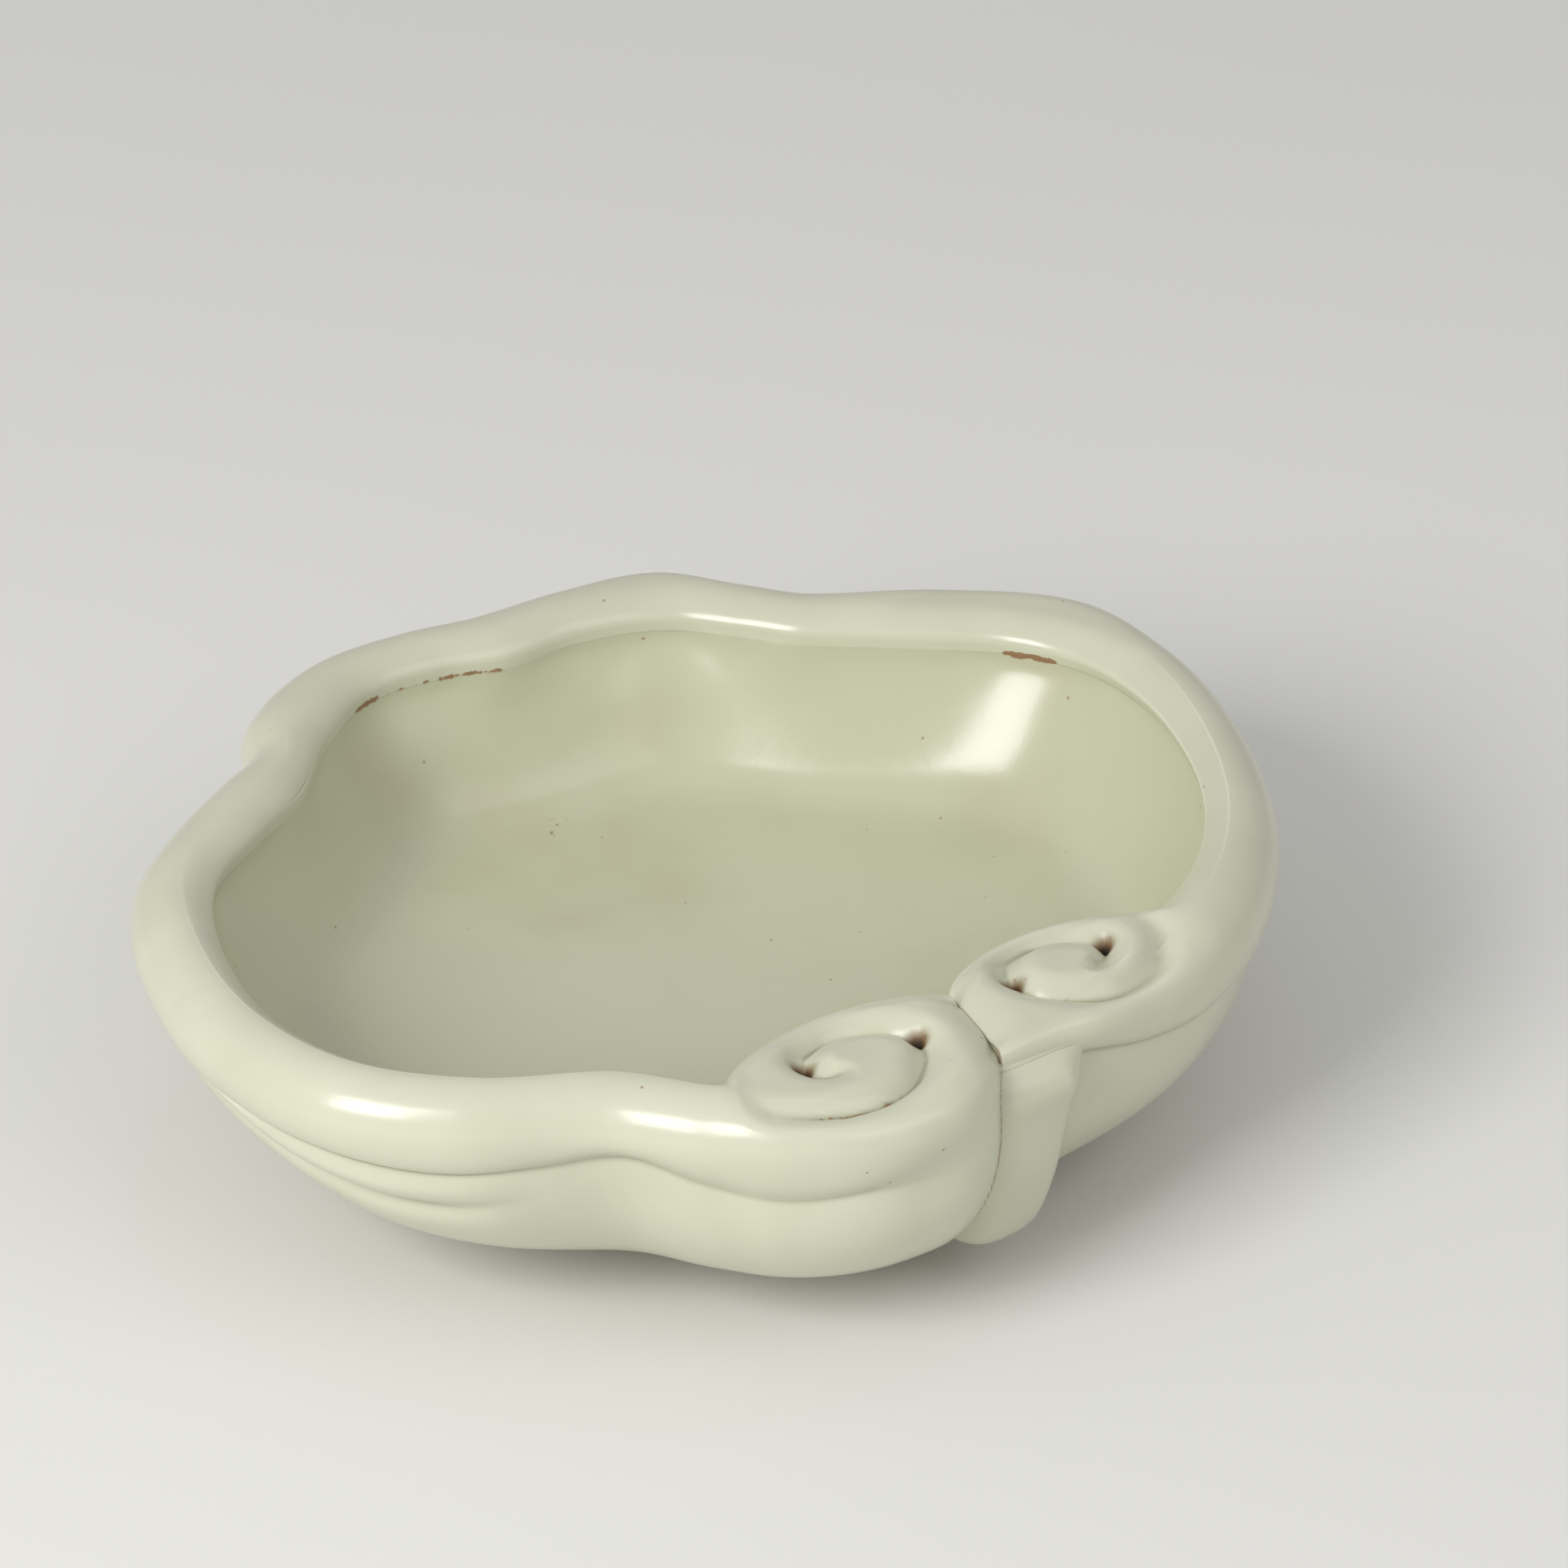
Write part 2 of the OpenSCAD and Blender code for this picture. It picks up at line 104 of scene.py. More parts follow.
def bell(x, middle, width):
    """Bell curve: 1 in the middle, falling off over the width."""
    return np.exp(-((x - middle) / width) ** 2)


print("curve through three marks:", smooth_curve([(0, 0), (1, 2), (2, 1)], np.array([0.5, 1.5])))

# %% [markdown]
# The outline is drawn in plan, in millimetres, round a pole inside the bowl. The lip is the roll's
# inner edge and the edge is its outer one. Three lobes swell out, right, back and left, and at the
# front the lip turns back along two ovals, which are the scrolls. The two ovals meet at the junction.
# Each row holds an angle, the share of its lobe's swell, and the width of the roll as a share of its
# plain width.

# %% Outline in plan
POLE = np.array([0.4, -3.6])
LIP_R, ROLL_W, FRONT_R = 78.5, 16.0, 84.0
RIGHT_LOBE, BACK_LOBE, LEFT_LOBE = 14.5, 7.5, 18.0
RIGHT_FRONT, LEFT_FRONT = 10.5, 14.0
RIGHT_ROWS = [(-35, 0.35, 0.87), (-15, 0.69, 0.85), (5, 1, 1), (16, 0.86, 1.28), (29, 0.31, 1.25), (43, 0, 1)]
BACK_ROWS = [(52, 0.27, 1.03), (61, 0.73, 1.15), (72, 0.6, 1.03), (83, 0.2, 1.06), (92, 0.67, 1),
             (102, 1, 1), (112, 0.6, 1.09), (127, 0, 1.03)]
LEFT_ROWS = [(138, 0.22, 1.03), (150, 0.64, 0.97), (165, 0.86, 0.88), (180, 1, 0.85), (193, 0.92, 0.87),
             (205, 0.53, 0.87), (219, -0.05, 0.9)]
FRONT_RIGHT_ROWS = [(0, 0), (8, 0.05), (14, 0.24), (22, 0.43), (32, 0.76), (42, 1)]
FRONT_LEFT_ROWS = [(35, 0.71), (27, 0.93), (17, 1), (9, 0.79), (3, 0.39), (0, 0)]
CREASE_AT = -93.5
OVAL_HALF = {-1: np.array([27.0, 14.0]), 1: np.array([24.0, 15.0])}
OVAL_X, OVAL_Y = 24.0, 69.0
PSI_CREASE = np.arccos(-OVAL_X / OVAL_HALF[-1][0])
JUNCTION = np.array([0.0, OVAL_HALF[-1][1] * np.sin(PSI_CREASE) - OVAL_Y])


def from_middle(side, psi):
    """Ellipse point, seen from its middle: half length times cosine, half depth times sine."""
    a, b = OVAL_HALF[side]
    return np.stack([side * a * np.cos(psi), b * np.sin(psi)], -1)


OVAL_MIDDLE = {side: JUNCTION - from_middle(side, PSI_CREASE) for side in (-1, 1)}
PSI_NOTCH, NOTCH = {}, {}
for side in (-1, 1):
    deep = -OVAL_MIDDLE[side][1] / OVAL_HALF[side][1]
    along = np.cos(PSI_CREASE)
    PSI_NOTCH[side] = np.arctan2(deep, along) - np.arccos(1 / np.hypot(along, deep))
    NOTCH[side] = OVAL_MIDDLE[side] + from_middle(side, PSI_NOTCH[side])
print("scrolls round", OVAL_MIDDLE[-1], "and", OVAL_MIDDLE[1])

# %% Lip and edge
RIGHT_AT = np.degrees(np.arctan2(NOTCH[1][1], NOTCH[1][0]))
LEFT_AT = 360 + np.degrees(np.arctan2(NOTCH[-1][1], NOTCH[-1][0]))
LOBE_ROWS = ((RIGHT_LOBE, RIGHT_ROWS), (BACK_LOBE, BACK_ROWS), (LEFT_LOBE, LEFT_ROWS))
LOBES = [(a, LIP_R + lobe * s, ROLL_W * w) for lobe, rows in LOBE_ROWS for a, s, w in rows]
LIP_CURVE = ([(RIGHT_AT, plan_length(NOTCH[1]))] + [row[:2] for row in LOBES]
             + [(LEFT_AT, plan_length(NOTCH[-1]))])
EDGE_CURVE = ([(CREASE_AT + d, FRONT_R + RIGHT_FRONT * s) for d, s in FRONT_RIGHT_ROWS]
              + [(a, r + w) for a, r, w in LOBES]
              + [(360 + CREASE_AT - d, FRONT_R + LEFT_FRONT * s) for d, s in FRONT_LEFT_ROWS])
PINCH_AT, PINCH, PINCH_WIDE = 122.5, 3.0, 4.0
HAIR = 0.06


def edge_reach(a):
    """Reach of the outer edge, a hair inside the solid: the smooth curve, less the pinch at the back left."""
    return smooth_curve(EDGE_CURVE, a) - PINCH * bell(a, PINCH_AT, PINCH_WIDE) - HAIR


print("notches at", RIGHT_AT, "and", LEFT_AT, "degrees, junction", JUNCTION)

# %% [markdown]
# A column is one cut through the body, from the lip straight out to the edge. Columns run round the
# washer: along the right scroll from the crease to its notch, round the rim, and along the left scroll
# back to the crease. A formula for the section of one cut is then a formula for the whole body.


# %% Columns round the body
class Columns:
    """Cuts round the body: lip point, unit vector outwards, width, angle, share of a scroll and side."""

    def __init__(self, lip, angle, share, side):
        edge = polar(angle, edge_reach(angle))
        self.lip, self.angle, self.share, self.side = lip, angle, share, side
        self.width = plan_length(edge - lip)
        self.way = (edge - lip) / self.width[:, None]

    def __add__(self, other):
        joined = Columns.__new__(Columns)
        for name, value in vars(self).items():
            setattr(joined, name, np.concatenate([value, getattr(other, name)]))
        return joined

    def __getitem__(self, which):
        part = Columns.__new__(Columns)
        for name, value in vars(self).items():
            setattr(part, name, value[which])
        return part


def scroll_columns(share, side):
    """Cuts along a scroll, from its notch (share 0) to the crease (share 1)."""
    psi = PSI_NOTCH[side] + (PSI_CREASE - PSI_NOTCH[side]) * share
    start, end = (RIGHT_AT, CREASE_AT) if side > 0 else (LEFT_AT, 360 + CREASE_AT)
    lip = OVAL_MIDDLE[side] + from_middle(side, psi)
    return Columns(lip, start + (end - start) * share, share, np.full(len(share), side))


def rim_columns(angle):
    """Cuts along the rim, at angles round the pole."""
    reach = smooth_curve(LIP_CURVE, angle)
    return Columns(polar(angle, reach), angle, np.zeros(len(angle)), np.where(angle < 90, 1, -1))


N_SCROLL, N_RIM = 280, 640
rim_step = (LEFT_AT - RIGHT_AT) / N_RIM
rim_angles = RIGHT_AT + rim_step * np.arange(N_RIM + 1)
share_up = np.arange(N_SCROLL + 1) / N_SCROLL
right_run = scroll_columns(share_up[::-1], 1)
rim_run = rim_columns(rim_angles)
left_run = scroll_columns(share_up, -1)
print("columns:", N_SCROLL, "per scroll and", N_RIM, "in the rim")

# %% [markdown]
# The spiral is carved into the top of each scroll. On the real washer the potter cut it with a slanted
# tool, so one side of the groove is a short steep step with a crisp upper edge, and the other side
# rises as a round coil. The steep side changes over at the two small pits where the tool was turned.
# The rows below go along the groove by the degrees that it has turned round the bulb in its middle.

# %% The spirals' lines
SPIRAL_R = 25.0
SPIRAL_REACH = {
    -1: [(-90, 1.2), (-20, 1.04), (0, 0.94), (45, 0.62), (90, 0.5), (135, 0.49), (180, 0.56), (225, 0.43),
         (270, 0.35), (315, 0.33), (360, 0.26), (405, 0.16), (450, 0.12), (540, 0.08)],
    1: [(-90, 0.9), (-20, 0.82), (0, 0.76), (45, 0.52), (90, 0.4), (135, 0.38), (180, 0.43), (225, 0.45),
        (270, 0.41), (315, 0.39), (340, 0.4), (380, 0.24), (450, 0.17), (540, 0.12)],
}
BULB = {-1: OVAL_MIDDLE[-1] - [4.0, 2.5], 1: OVAL_MIDDLE[1]}
PITS = {-1: [(182, 14.4), (327, 8.2)], 1: [(193, 11.1), (341, 10.4)]}
STEP_OUTSIDE = {-1: [(160, 1), (178, 0), (308, 0), (326, 1)], 1: [(196, 1), (222, 0), (346, 0), (362, 1)]}
CRISP = {-1: [(5, 0), (30, 1), (125, 1), (158, 0.1), (176, 0.3), (188, 1), (272, 1), (304, 0.1), (320, 0.3),
              (332, 0.6), (370, 0.3), (400, 0)],
         1: [(50, 0), (115, 0.9), (186, 1), (208, 0.1), (258, 0.1), (285, 1), (340, 1), (362, 0.1), (380, 0)]}
SHOWN = {-1: [(-20, 0), (0, 0.3), (50, 1), (345, 1), (430, 0)], 1: [(-20, 0), (20, 1), (350, 1), (450, 0)]}
GROOVE_DEEP, STEP_HIGH, STEP_WIDE = 3.6, 1.5, 0.9
COIL_WIDE, BAND_WIDE, LINE_ROUND = 5.5, 6.0, 0.4
SOFT_DIP, DIP_WIDE = 0.8, 3.0
COIL_END, COIL_FADE = 1.0, 4.0
PIT_DEEP, PIT_R = 2.6, 1.6
print("bulbs of the scrolls at", BULB[-1], BULB[1])


# %% Spiral grooves
def straight(rows, x):
    """Straight lines between rows of (x, value), level beyond the ends."""
    table = np.asarray(rows, float)
    return np.interp(x, table[:, 0], table[:, 1])


def slanted_cut(d):
    """Drop at a distance d from the groove's line: a round coil where d is below 0, half a parabola and half
    an arc, and above it a short step with a crisp upper edge, then a gently sloping band."""
    u = np.clip(1 - (np.hypot(d, LINE_ROUND) - LINE_ROUND) / COIL_WIDE, 0, 1)
    coil = GROOVE_DEEP * (0.5 * u ** 2 + 0.5 * (1 - np.sqrt(1 - 0.9 * u ** 2)) / (1 - np.sqrt(0.1)))
    step = GROOVE_DEEP - STEP_HIGH * np.clip(d / STEP_WIDE, 0, 1)
    band = (GROOVE_DEEP - STEP_HIGH) * np.clip(1 - (d - STEP_WIDE) / BAND_WIDE, 0, 1) ** 1.7
    return np.where(d < 0, coil, np.where(d < STEP_WIDE, step, band))


def spiral_turns(p, side):
    """For plan points: vector from the bulb, and for each of three turns the angle and the distance outside
    the groove's line."""
    v = p - BULB[side]
    r = plan_length(v)
    turn = np.degrees(np.arctan2(-v[..., 1], side * v[..., 0])) % 360
    return v, [(t, r - SPIRAL_R * smooth_curve(SPIRAL_REACH[side], np.clip(t, -90, 540)))
               for t in (turn - 360, turn, turn + 360)]


def pit_gaps(v, side):
    """Distances of points from the two pits of a scroll."""
    for t, reach in PITS[side]:
        pit = reach * np.array([side * np.cos(np.radians(t)), -np.sin(np.radians(t))])
        yield plan_length(v - pit)


def spiral_drop(p, side):
    """Drop of a scroll's top at plan points: the groove in up to three turns, and the two pits. Where the
    groove isn't crisp it is a soft dip, and it leaves the round end of the coil alone."""
    v, turns = spiral_turns(p, side)
    total = 0.0
    for t, d in turns:
        outside, crisp = straight(STEP_OUTSIDE[side], t), straight(CRISP[side], t)
        soft = SOFT_DIP * GROOVE_DEEP * bell(d, 0, DIP_WIDE)
        sharp = outside * slanted_cut(d) + (1 - outside) * slanted_cut(-d)
        total = total + ((soft + crisp * (sharp - soft)) * straight(SHOWN[side], t)) ** 3
    coil_end = ramp((plan_length(v) - COIL_END) / COIL_FADE)
    return coil_end * np.cbrt(total) + sum(PIT_DEEP * bell(gap, 0, PIT_R) for gap in pit_gaps(v, side))


CREASE_WAY = polar(CREASE_AT, FRONT_R) - JUNCTION
CREASE_WAY = CREASE_WAY / plan_length(CREASE_WAY)
CREASE_DEEP, CREASE_WIDE = 2.4, 8.0


def crease_gap(p):
    """Distance of plan points from the line of the crease."""
    v = p - JUNCTION
    return np.abs(v[..., 0] * CREASE_WAY[1] - v[..., 1] * CREASE_WAY[0])


print("deepest cut of a groove:", slanted_cut(np.zeros(1)), "mm")

# %% [markdown]
# The section of a column goes up the inside wall, round the lip, over the roll's crest and shoulder,
# into the groove under the roll, and down the outside to the base. All columns share this row order,
# so the whole ring is one grid of points. Bending a mesh by hand would give no such grid.

# %% The section of the body
LIP_Z, BASE_R, FOOT_H = 52.0, 52.0, 8.0
FLOOR_EDGE_Z, FLOOR_DISH, FLOOR_IN, FLOOR_LOBE, FLOOR_FRONT = 24.0, 3.0, 12.0, 0.45, 3.0
CREST_H, CREST_IN, SHOULDER_W, SHOULDER_H = 4.0, 7.0, 9.0, 9.0
GROOVE_DROP, GROOVE_IN, GROOVE_RUN, CREASE_DROP, CREASE_RUN = 11.0, 3.0, 14.0, 0.53, 8.0
LIP_OVER, LIP_T, LIP_TURN, SCROLL_T, SCROLL_SEAT, SCROLL_LOW = 0.8, 2.5, 0.5, 4.0, 10.0, 1.0
CARVE_FADE, NOTCH_FADE = 5.0, 0.18
SIDE_ROWS = [(-96, 0.55, 0.62), (-82, 0.55, 0.62), (-70, 0.95, 0.85), (-58, 1.1, 1), (-40, 1, 1), (0, 0.9, 1),
             (160, 0.9, 1), (190, 0.95, 1), (203, 1.1, 1), (213, 0.97, 1), (222, 0.78, 1), (231, 1.08, 1),
             (240, 1.2, 1), (250, 1.05, 1), (262, 0.95, 1), (270, 0.95, 1)]


def from_crease(a):
    """Degrees round the pole from the crease."""
    return np.minimum(a - CREASE_AT, 360 + CREASE_AT - a)


def groove_level(a):
    """Drop from the lip to the groove under the roll: rows round the washer, one height at the crease."""
    rise = (smooth_curve(SIDE_ROWS, a) - CREASE_DROP) * ramp(from_crease(a) / CREASE_RUN)
    return GROOVE_DROP * (CREASE_DROP + rise)


def groove_tuck(a):
    """Depth of that groove, which runs out towards the crease."""
    return GROOVE_IN * ramp(from_crease(a) / GROOVE_RUN)


def crest(q):
    """Height of the roll above the lip: a parabola up to the crest, then level."""
    return CREST_H * (1 - (1 - np.minimum(q / CREST_IN, 1)) ** 2)


def place(c, q, z):
    """Points of columns: q outwards from the lip and z above it, rows along the second axis."""
    xy = c.lip[:, None, :] + q[..., None] * c.way[:, None, :] + POLE
    return np.concatenate([xy, (LIP_Z + z)[..., None]], -1)


print("groove under the roll, drop at the left:", groove_level(np.array([190.0, 222.0, 240.0])))


# %% Roll and carving
def roll_rows(c, tuck, n_edge, n_top, n_shoulder, n_side):
    """The roll, from the seam inside to the groove outside, as q and z for each column and row. The seam of
    a scroll is set back, within the first quarter of its run."""
    w, k = c.width[:, None], ramp(4 * c.share)[:, None]
    seam_q = LIP_OVER + k * np.maximum(0, w - tuck[:, None] - SCROLL_SEAT - LIP_OVER)
    seam_z = -LIP_T - k * SCROLL_T
    t = np.arange(n_edge)[None, :] / n_edge
    under, rise = np.minimum(2 * t, 1), np.maximum(2 * t - 1, 0)
    turn_z = seam_z / 2 * (1 - k) + (seam_z + LIP_TURN) * k
    edge_q = seam_q + (LIP_OVER / 2 - seam_q) * under - LIP_OVER / 2 * rise
    edge_z = seam_z + (turn_z - seam_z) * under - turn_z * rise
    flat = w - SHOULDER_W
    q_top = flat * np.arange(n_top)[None, :] / n_top
    b = np.pi / 2 * np.arange(n_shoulder)[None, :] / n_shoulder
    high = crest(flat)
    down = SHOULDER_H * smooth_curve(SIDE_ROWS, c.angle, 2)[:, None]
    q_shoulder, z_shoulder = flat + SHOULDER_W * np.sin(b), high - down * (1 - np.cos(b))
    b = np.pi / 2 * np.arange(n_side + 1)[None, :] / n_side
    q_side = w - tuck[:, None] * (1 - np.cos(b))
    z_side = high - down - (groove_level(c.angle)[:, None] + high - down) * np.sin(b)
    q = np.concatenate([edge_q, q_top, q_shoulder, q_side], 1)
    z = np.concatenate([edge_z, crest(q_top), z_shoulder, z_side], 1)
    return q, z


def carve(c, q, z, first, last):
    """Lowers the top rows of scroll columns by the spiral and the crease. The carving fades out at the lip,
    at the front edge and at the notch."""
    p = c.lip[:, None, :] + q[..., None] * c.way[:, None, :]
    keep = ramp(q / CARVE_FADE) * ramp((c.width[:, None] - q) / CARVE_FADE)
    keep = keep * ramp(c.share / NOTCH_FADE)[:, None]
    crease = CREASE_DEEP * np.clip(1 - crease_gap(p) / CREASE_WIDE, 0, 1) ** 2
    drop = SCROLL_LOW + spiral_drop(p, int(c.side[0])) + crease
    row = np.arange(q.shape[1])[None, :]
    return z - np.where((row >= first) & (row <= last) & (c.share[:, None] > 0), keep * drop, 0)


print("height of the roll 3.5 mm from the lip:", crest(np.array([3.5])))

# %% [markdown]
# The wall hangs from the roll. Outside it is a quarter ellipse that bellies out under the scrolls, draws
# in on the left, and has one growth fold there. Inside it leans out from the floor like a soup plate,
# and the floor's edge keeps less than half of the lobes' swell.

# %% Outside wall
FRONT_BELLY, BELLY_AT, BELLY_WIDE = 4.0, 250.0, 25.0
SIDE_TUCK, TUCK_AT, TUCK_WIDE = 4.0, 178.0, 18.0
FOLD_DEEP, FOLD_AT, FOLD_PEAK, FOLD_BEND = 2.5, 15.2, 200.0, 8.0
FOLD_STEEP, FOLD_EASY, FOLD_CREST, CREST_ABOVE, CREST_WIDE = 2.0, 5.5, 0.4, 7.5, 4.0
FOLD_FROM, FOLD_COMES, FOLD_TO, FOLD_GOES = 168.0, 14.0, 214.0, 18.0


def wall_push(a, b):
    """How far the outside stands out from a plain quarter ellipse: belly, tuck, and the fold with the second
    groove under it, which is steep above and easy below."""
    swell = FRONT_BELLY * bell(np.where(a < 90, a + 360, a), BELLY_AT, BELLY_WIDE)
    swell = swell - SIDE_TUCK * bell(a, TUCK_AT, TUCK_WIDE)
    groove_at = FOLD_AT - ((a - FOLD_PEAK) / FOLD_BEND) ** 2
    wide = np.where(b < groove_at, FOLD_STEEP, FOLD_EASY)
    fold = FOLD_CREST * bell(b, groove_at - CREST_ABOVE, CREST_WIDE) - bell(b, groove_at, wide)
    along = ramp((a - FOLD_FROM) / FOLD_COMES) * ramp((FOLD_TO - a) / FOLD_GOES)
    return swell * np.sin(2 * np.radians(b)) + FOLD_DEEP * along * fold


def quarter(start, end, degrees):
    """Quarter ellipse between two points of each column: upright at the start, level at the end."""
    b = np.radians(degrees)[None, :, None]
    return start + (end - start) * np.concatenate([1 - np.cos(b), 1 - np.cos(b), np.sin(b)], 2)


def ring(angle, reach, z):
    """Points at angles, a reach from the pole and a height, one row per column."""
    return np.concatenate([polar(angle, reach) + POLE, np.full((len(angle), 1), z)], 1)[:, None, :]


def outer_wall(c, tuck, degrees):
    """Outside of the wall, from the groove to the base."""
    groove = place(c, (c.width - tuck)[:, None], -groove_level(c.angle)[:, None])
    push = wall_push(c.angle[:, None], degrees[None, :])
    out = np.concatenate([push[..., None] * c.way[:, None, :], np.zeros(push.shape + (1,))], 2)
    return quarter(groove, ring(c.angle, np.full(len(c.angle), BASE_R), FOOT_H), degrees) + out


print("belly under the scrolls:", wall_push(BELLY_AT, 45.0), "mm")

# %% Inside wall and floor
LEAN = 3.5


def floor_reach(c):
    """Reach of the floor's edge: a share of the lobes along the rim, one smooth run behind the scrolls."""
    calm = lambda reach: LIP_R + FLOOR_LOBE * (reach - LIP_R)
    notch = {side: calm(plan_length(NOTCH[side])) for side in (-1, 1)}
    own = np.where(c.side > 0, notch[1], notch[-1])
    front = own + (0.5 * (notch[1] + notch[-1]) - FLOOR_FRONT - own) * c.share
    return np.where(c.share > 0, front, calm(plan_length(c.lip))) - FLOOR_IN


def inner_wall(c, seam, degrees):
    """Inside of the wall, from the seam under the lip to the floor's edge, drawn inwards so that it leans."""
    push = LEAN * np.sin(2 * np.radians(degrees))[None, :, None]
    way = np.concatenate([polar(c.angle, np.ones(len(c.angle))), np.zeros((len(c.angle), 1))], 1)[:, None, :]
    return quarter(seam, ring(c.angle, floor_reach(c), FLOOR_EDGE_Z), degrees) - push * way


def dish(edge, share):
    """The floor: rows that shrink from its edge towards the pole and sink as a parabola."""
    pole = np.array([POLE[0], POLE[1], FLOOR_EDGE_Z])
    points = pole + (edge - pole) * share[None, :, None]
    points[..., 2] -= FLOOR_DISH * (1 - share[None, :] ** 2)
    return points


N_DISH, N_IN, N_OUT = 28, 40, 90
DISH_SHARE = 0.04 + 0.96 * (1 - (1 - np.arange(N_DISH) / N_DISH) ** 1.5)
IN_DEGREES = 90 * (1 - np.arange(N_IN) / N_IN)
OUT_DEGREES = 90 * (np.arange(1, N_OUT + 1) / N_OUT) ** 1.3
LIP_ROW = N_DISH + N_IN


def section_grid(c, rows):
    """Points of the whole section for each column: floor, inside wall, roll, outside wall."""
    tuck = groove_tuck(c.angle)
    q, z = roll_rows(c, tuck, *rows)
    if c.share.max() > 0:
        z = carve(c, q, z, rows[0], sum(rows[:3]))
    roll = place(c, q, z)
    inside = inner_wall(c, roll[:, :1], IN_DEGREES)
    floor = dish(inside[:, :1], DISH_SHARE)
    return np.concatenate([floor, inside, roll, outer_wall(c, tuck, OUT_DEGREES)], 1)


print("rows: floor", N_DISH, "inside", N_IN, "outside", N_OUT)

# %% [markdown]
# Molten glaze rounds every edge and fills the bottom of every groove. The same is done to the grid:
# each row becomes a bell-shaped average of its neighbours along the section. The average is wide round
# the rim's lip at the back, where the roll is a fat tube, wide along the foot of the inside wall, and
# narrow on the scrolls, where the edges stay crisp.


# %% Rounding by the glaze
def melt(points, spread):
    """Averages each row with its neighbours in its column, weighted by a bell as wide as the spread in mm."""
    steps = np.linalg.norm(np.diff(points, axis=1), axis=-1)
    length = np.concatenate([np.zeros((len(points), 1)), np.cumsum(steps, 1)], 1)
    own = np.gradient(length, axis=1)
    rounded = points.copy()
    for block in np.array_split(np.arange(len(points)), len(points) // 40 + 1):
        gap = length[block, :, None] - length[block, None, :]
        weight = np.exp(-0.5 * (gap / spread[block, :, None]) ** 2) * own[block, None, :]
        rounded[block] = np.einsum("ijk,ikd->ijd", weight, points[block]) / weight.sum(2)[..., None]
    rounded[:, [0, -1]] = points[:, [0, -1]]
    return rounded


corner = np.array([[[4.0, 0, 0], [0, 0, 0], [0, 4, 0]]])
print("a corner, rounded by 2 mm:", melt(corner, np.full((1, 3), 2.0))[0, 1])

# %% Width of the rounding
N_LIP = 8
FILLET, FILLET_IN, FILLET_FADE, FLOOR_R = 2.6, 14.0, 10.0, 66.0


def spreads(c, rows):
    """Width of the rounding in mm for each column and row: one value per stretch of the section, eased
    between, and a fillet where the inside wall meets the floor. Three shares steer it: soft for the back
    of the rim, front for the underside of the roll, and bulge for the end of the left scroll."""
    n_edge, n_top, n_shoulder, n_side = rows
    soft = np.where(c.share > 0, 0, ramp((c.angle + 10) / 40) * ramp((172 - c.angle) / 40))
    front = np.where(c.angle > 180, ramp((c.angle - 206) / 14), 0.3 + 0.7 * soft)
    bulge = ramp((c.angle - 247) / 8) * ramp((360 + CREASE_AT - c.angle) / 4)
    even = np.ones(len(c.angle))
    stretches = [(LIP_ROW - N_LIP, 1.0 * even),
                 (N_LIP, 0.35 + 1.2 * soft),
                 (n_edge, 0.35 + 1.4 * soft),
                 (n_top // 4, 0.3 + 1.3 * soft),
                 (n_top - n_top // 4, 0.25 + 1.0 * soft),
                 (n_shoulder, 0.8 + 0.6 * soft),
                 (n_side + 1, 0.6 + 0.6 * front + 1.5 * bulge),
                 (N_OUT // 4, 0.6 + 0.4 * front + 1.5 * bulge),
                 (N_OUT - N_OUT // 4, 1.0 * even)]
    table = np.concatenate([np.repeat(value[:, None], n, 1) for n, value in stretches], 1)
    on_floor = ramp((FILLET_IN - FLOOR_R * (1 - DISH_SHARE)) / FILLET_FADE)
    on_wall = ramp((IN_DEGREES - 25) / 45)
    table[:, :LIP_ROW] += FILLET * np.r_[on_floor, on_wall][None, :]
    padded = np.pad(table, ((0, 0), (4, 4)), mode="edge")
    return sum(padded[:, k:k + table.shape[1]] for k in range(9)) / 9


SCROLL_ROWS, RIM_ROWS = (24, 150, 28, 16), (14, 44, 22, 16)
widths = spreads(rim_run, RIM_ROWS)
print("rounding along the rim from", widths.min(), "to", widths.max(), "mm")

# %% [markdown]
# Along the washer the glaze evens things out too. Rim and scroll flow into each other behind the notches,
# the lobes fade soon below the lip, and the wall behind the scrolls is one smooth sweep. The same average
# does this, taken across the columns instead of down them.

# %% Evening along the washer
HALO_RIM, HALO_SCROLL = 30, 90
NOTCH_REACH, NOTCH_EVEN, NOTCH_WIDE, LEAST = 16.0, 2.6, 6.0, 0.02
LOBE_EVEN, LOBE_DEPTH, PINCH_EVEN, PINCH_RUN = 9.0, 12.0, 4.0, 8.0
WALL_EVEN, WALL_DEPTH, CARVE_EVEN = 4.0, 8.0, 0.35
QUIET_ROWS = 8
INSIDE_ROWS = slice(QUIET_ROWS, LIP_ROW + 1)
NEAR_WALL = ramp(np.arange(LIP_ROW + 1 - QUIET_ROWS) / 8)


def even_out(grid, rows, spread, share):
    """Averages chosen rows across the columns, by a share for each column and row."""
    across = grid[:, rows].transpose(1, 0, 2)
    even = melt(across, np.full(across.shape[:2], spread)).transpose(1, 0, 2)
    grid[:, rows] += share[..., None] * (even - grid[:, rows])


def top_rows(rows):
    """Rows of the roll's top and shoulder."""
    return slice(LIP_ROW + rows[0], LIP_ROW + sum(rows[:3]))


def below_lip(grid):
    """Depth of the inside rows below the lip."""
    return grid[:, LIP_ROW, None, 2] - grid[:, INSIDE_ROWS, 2]


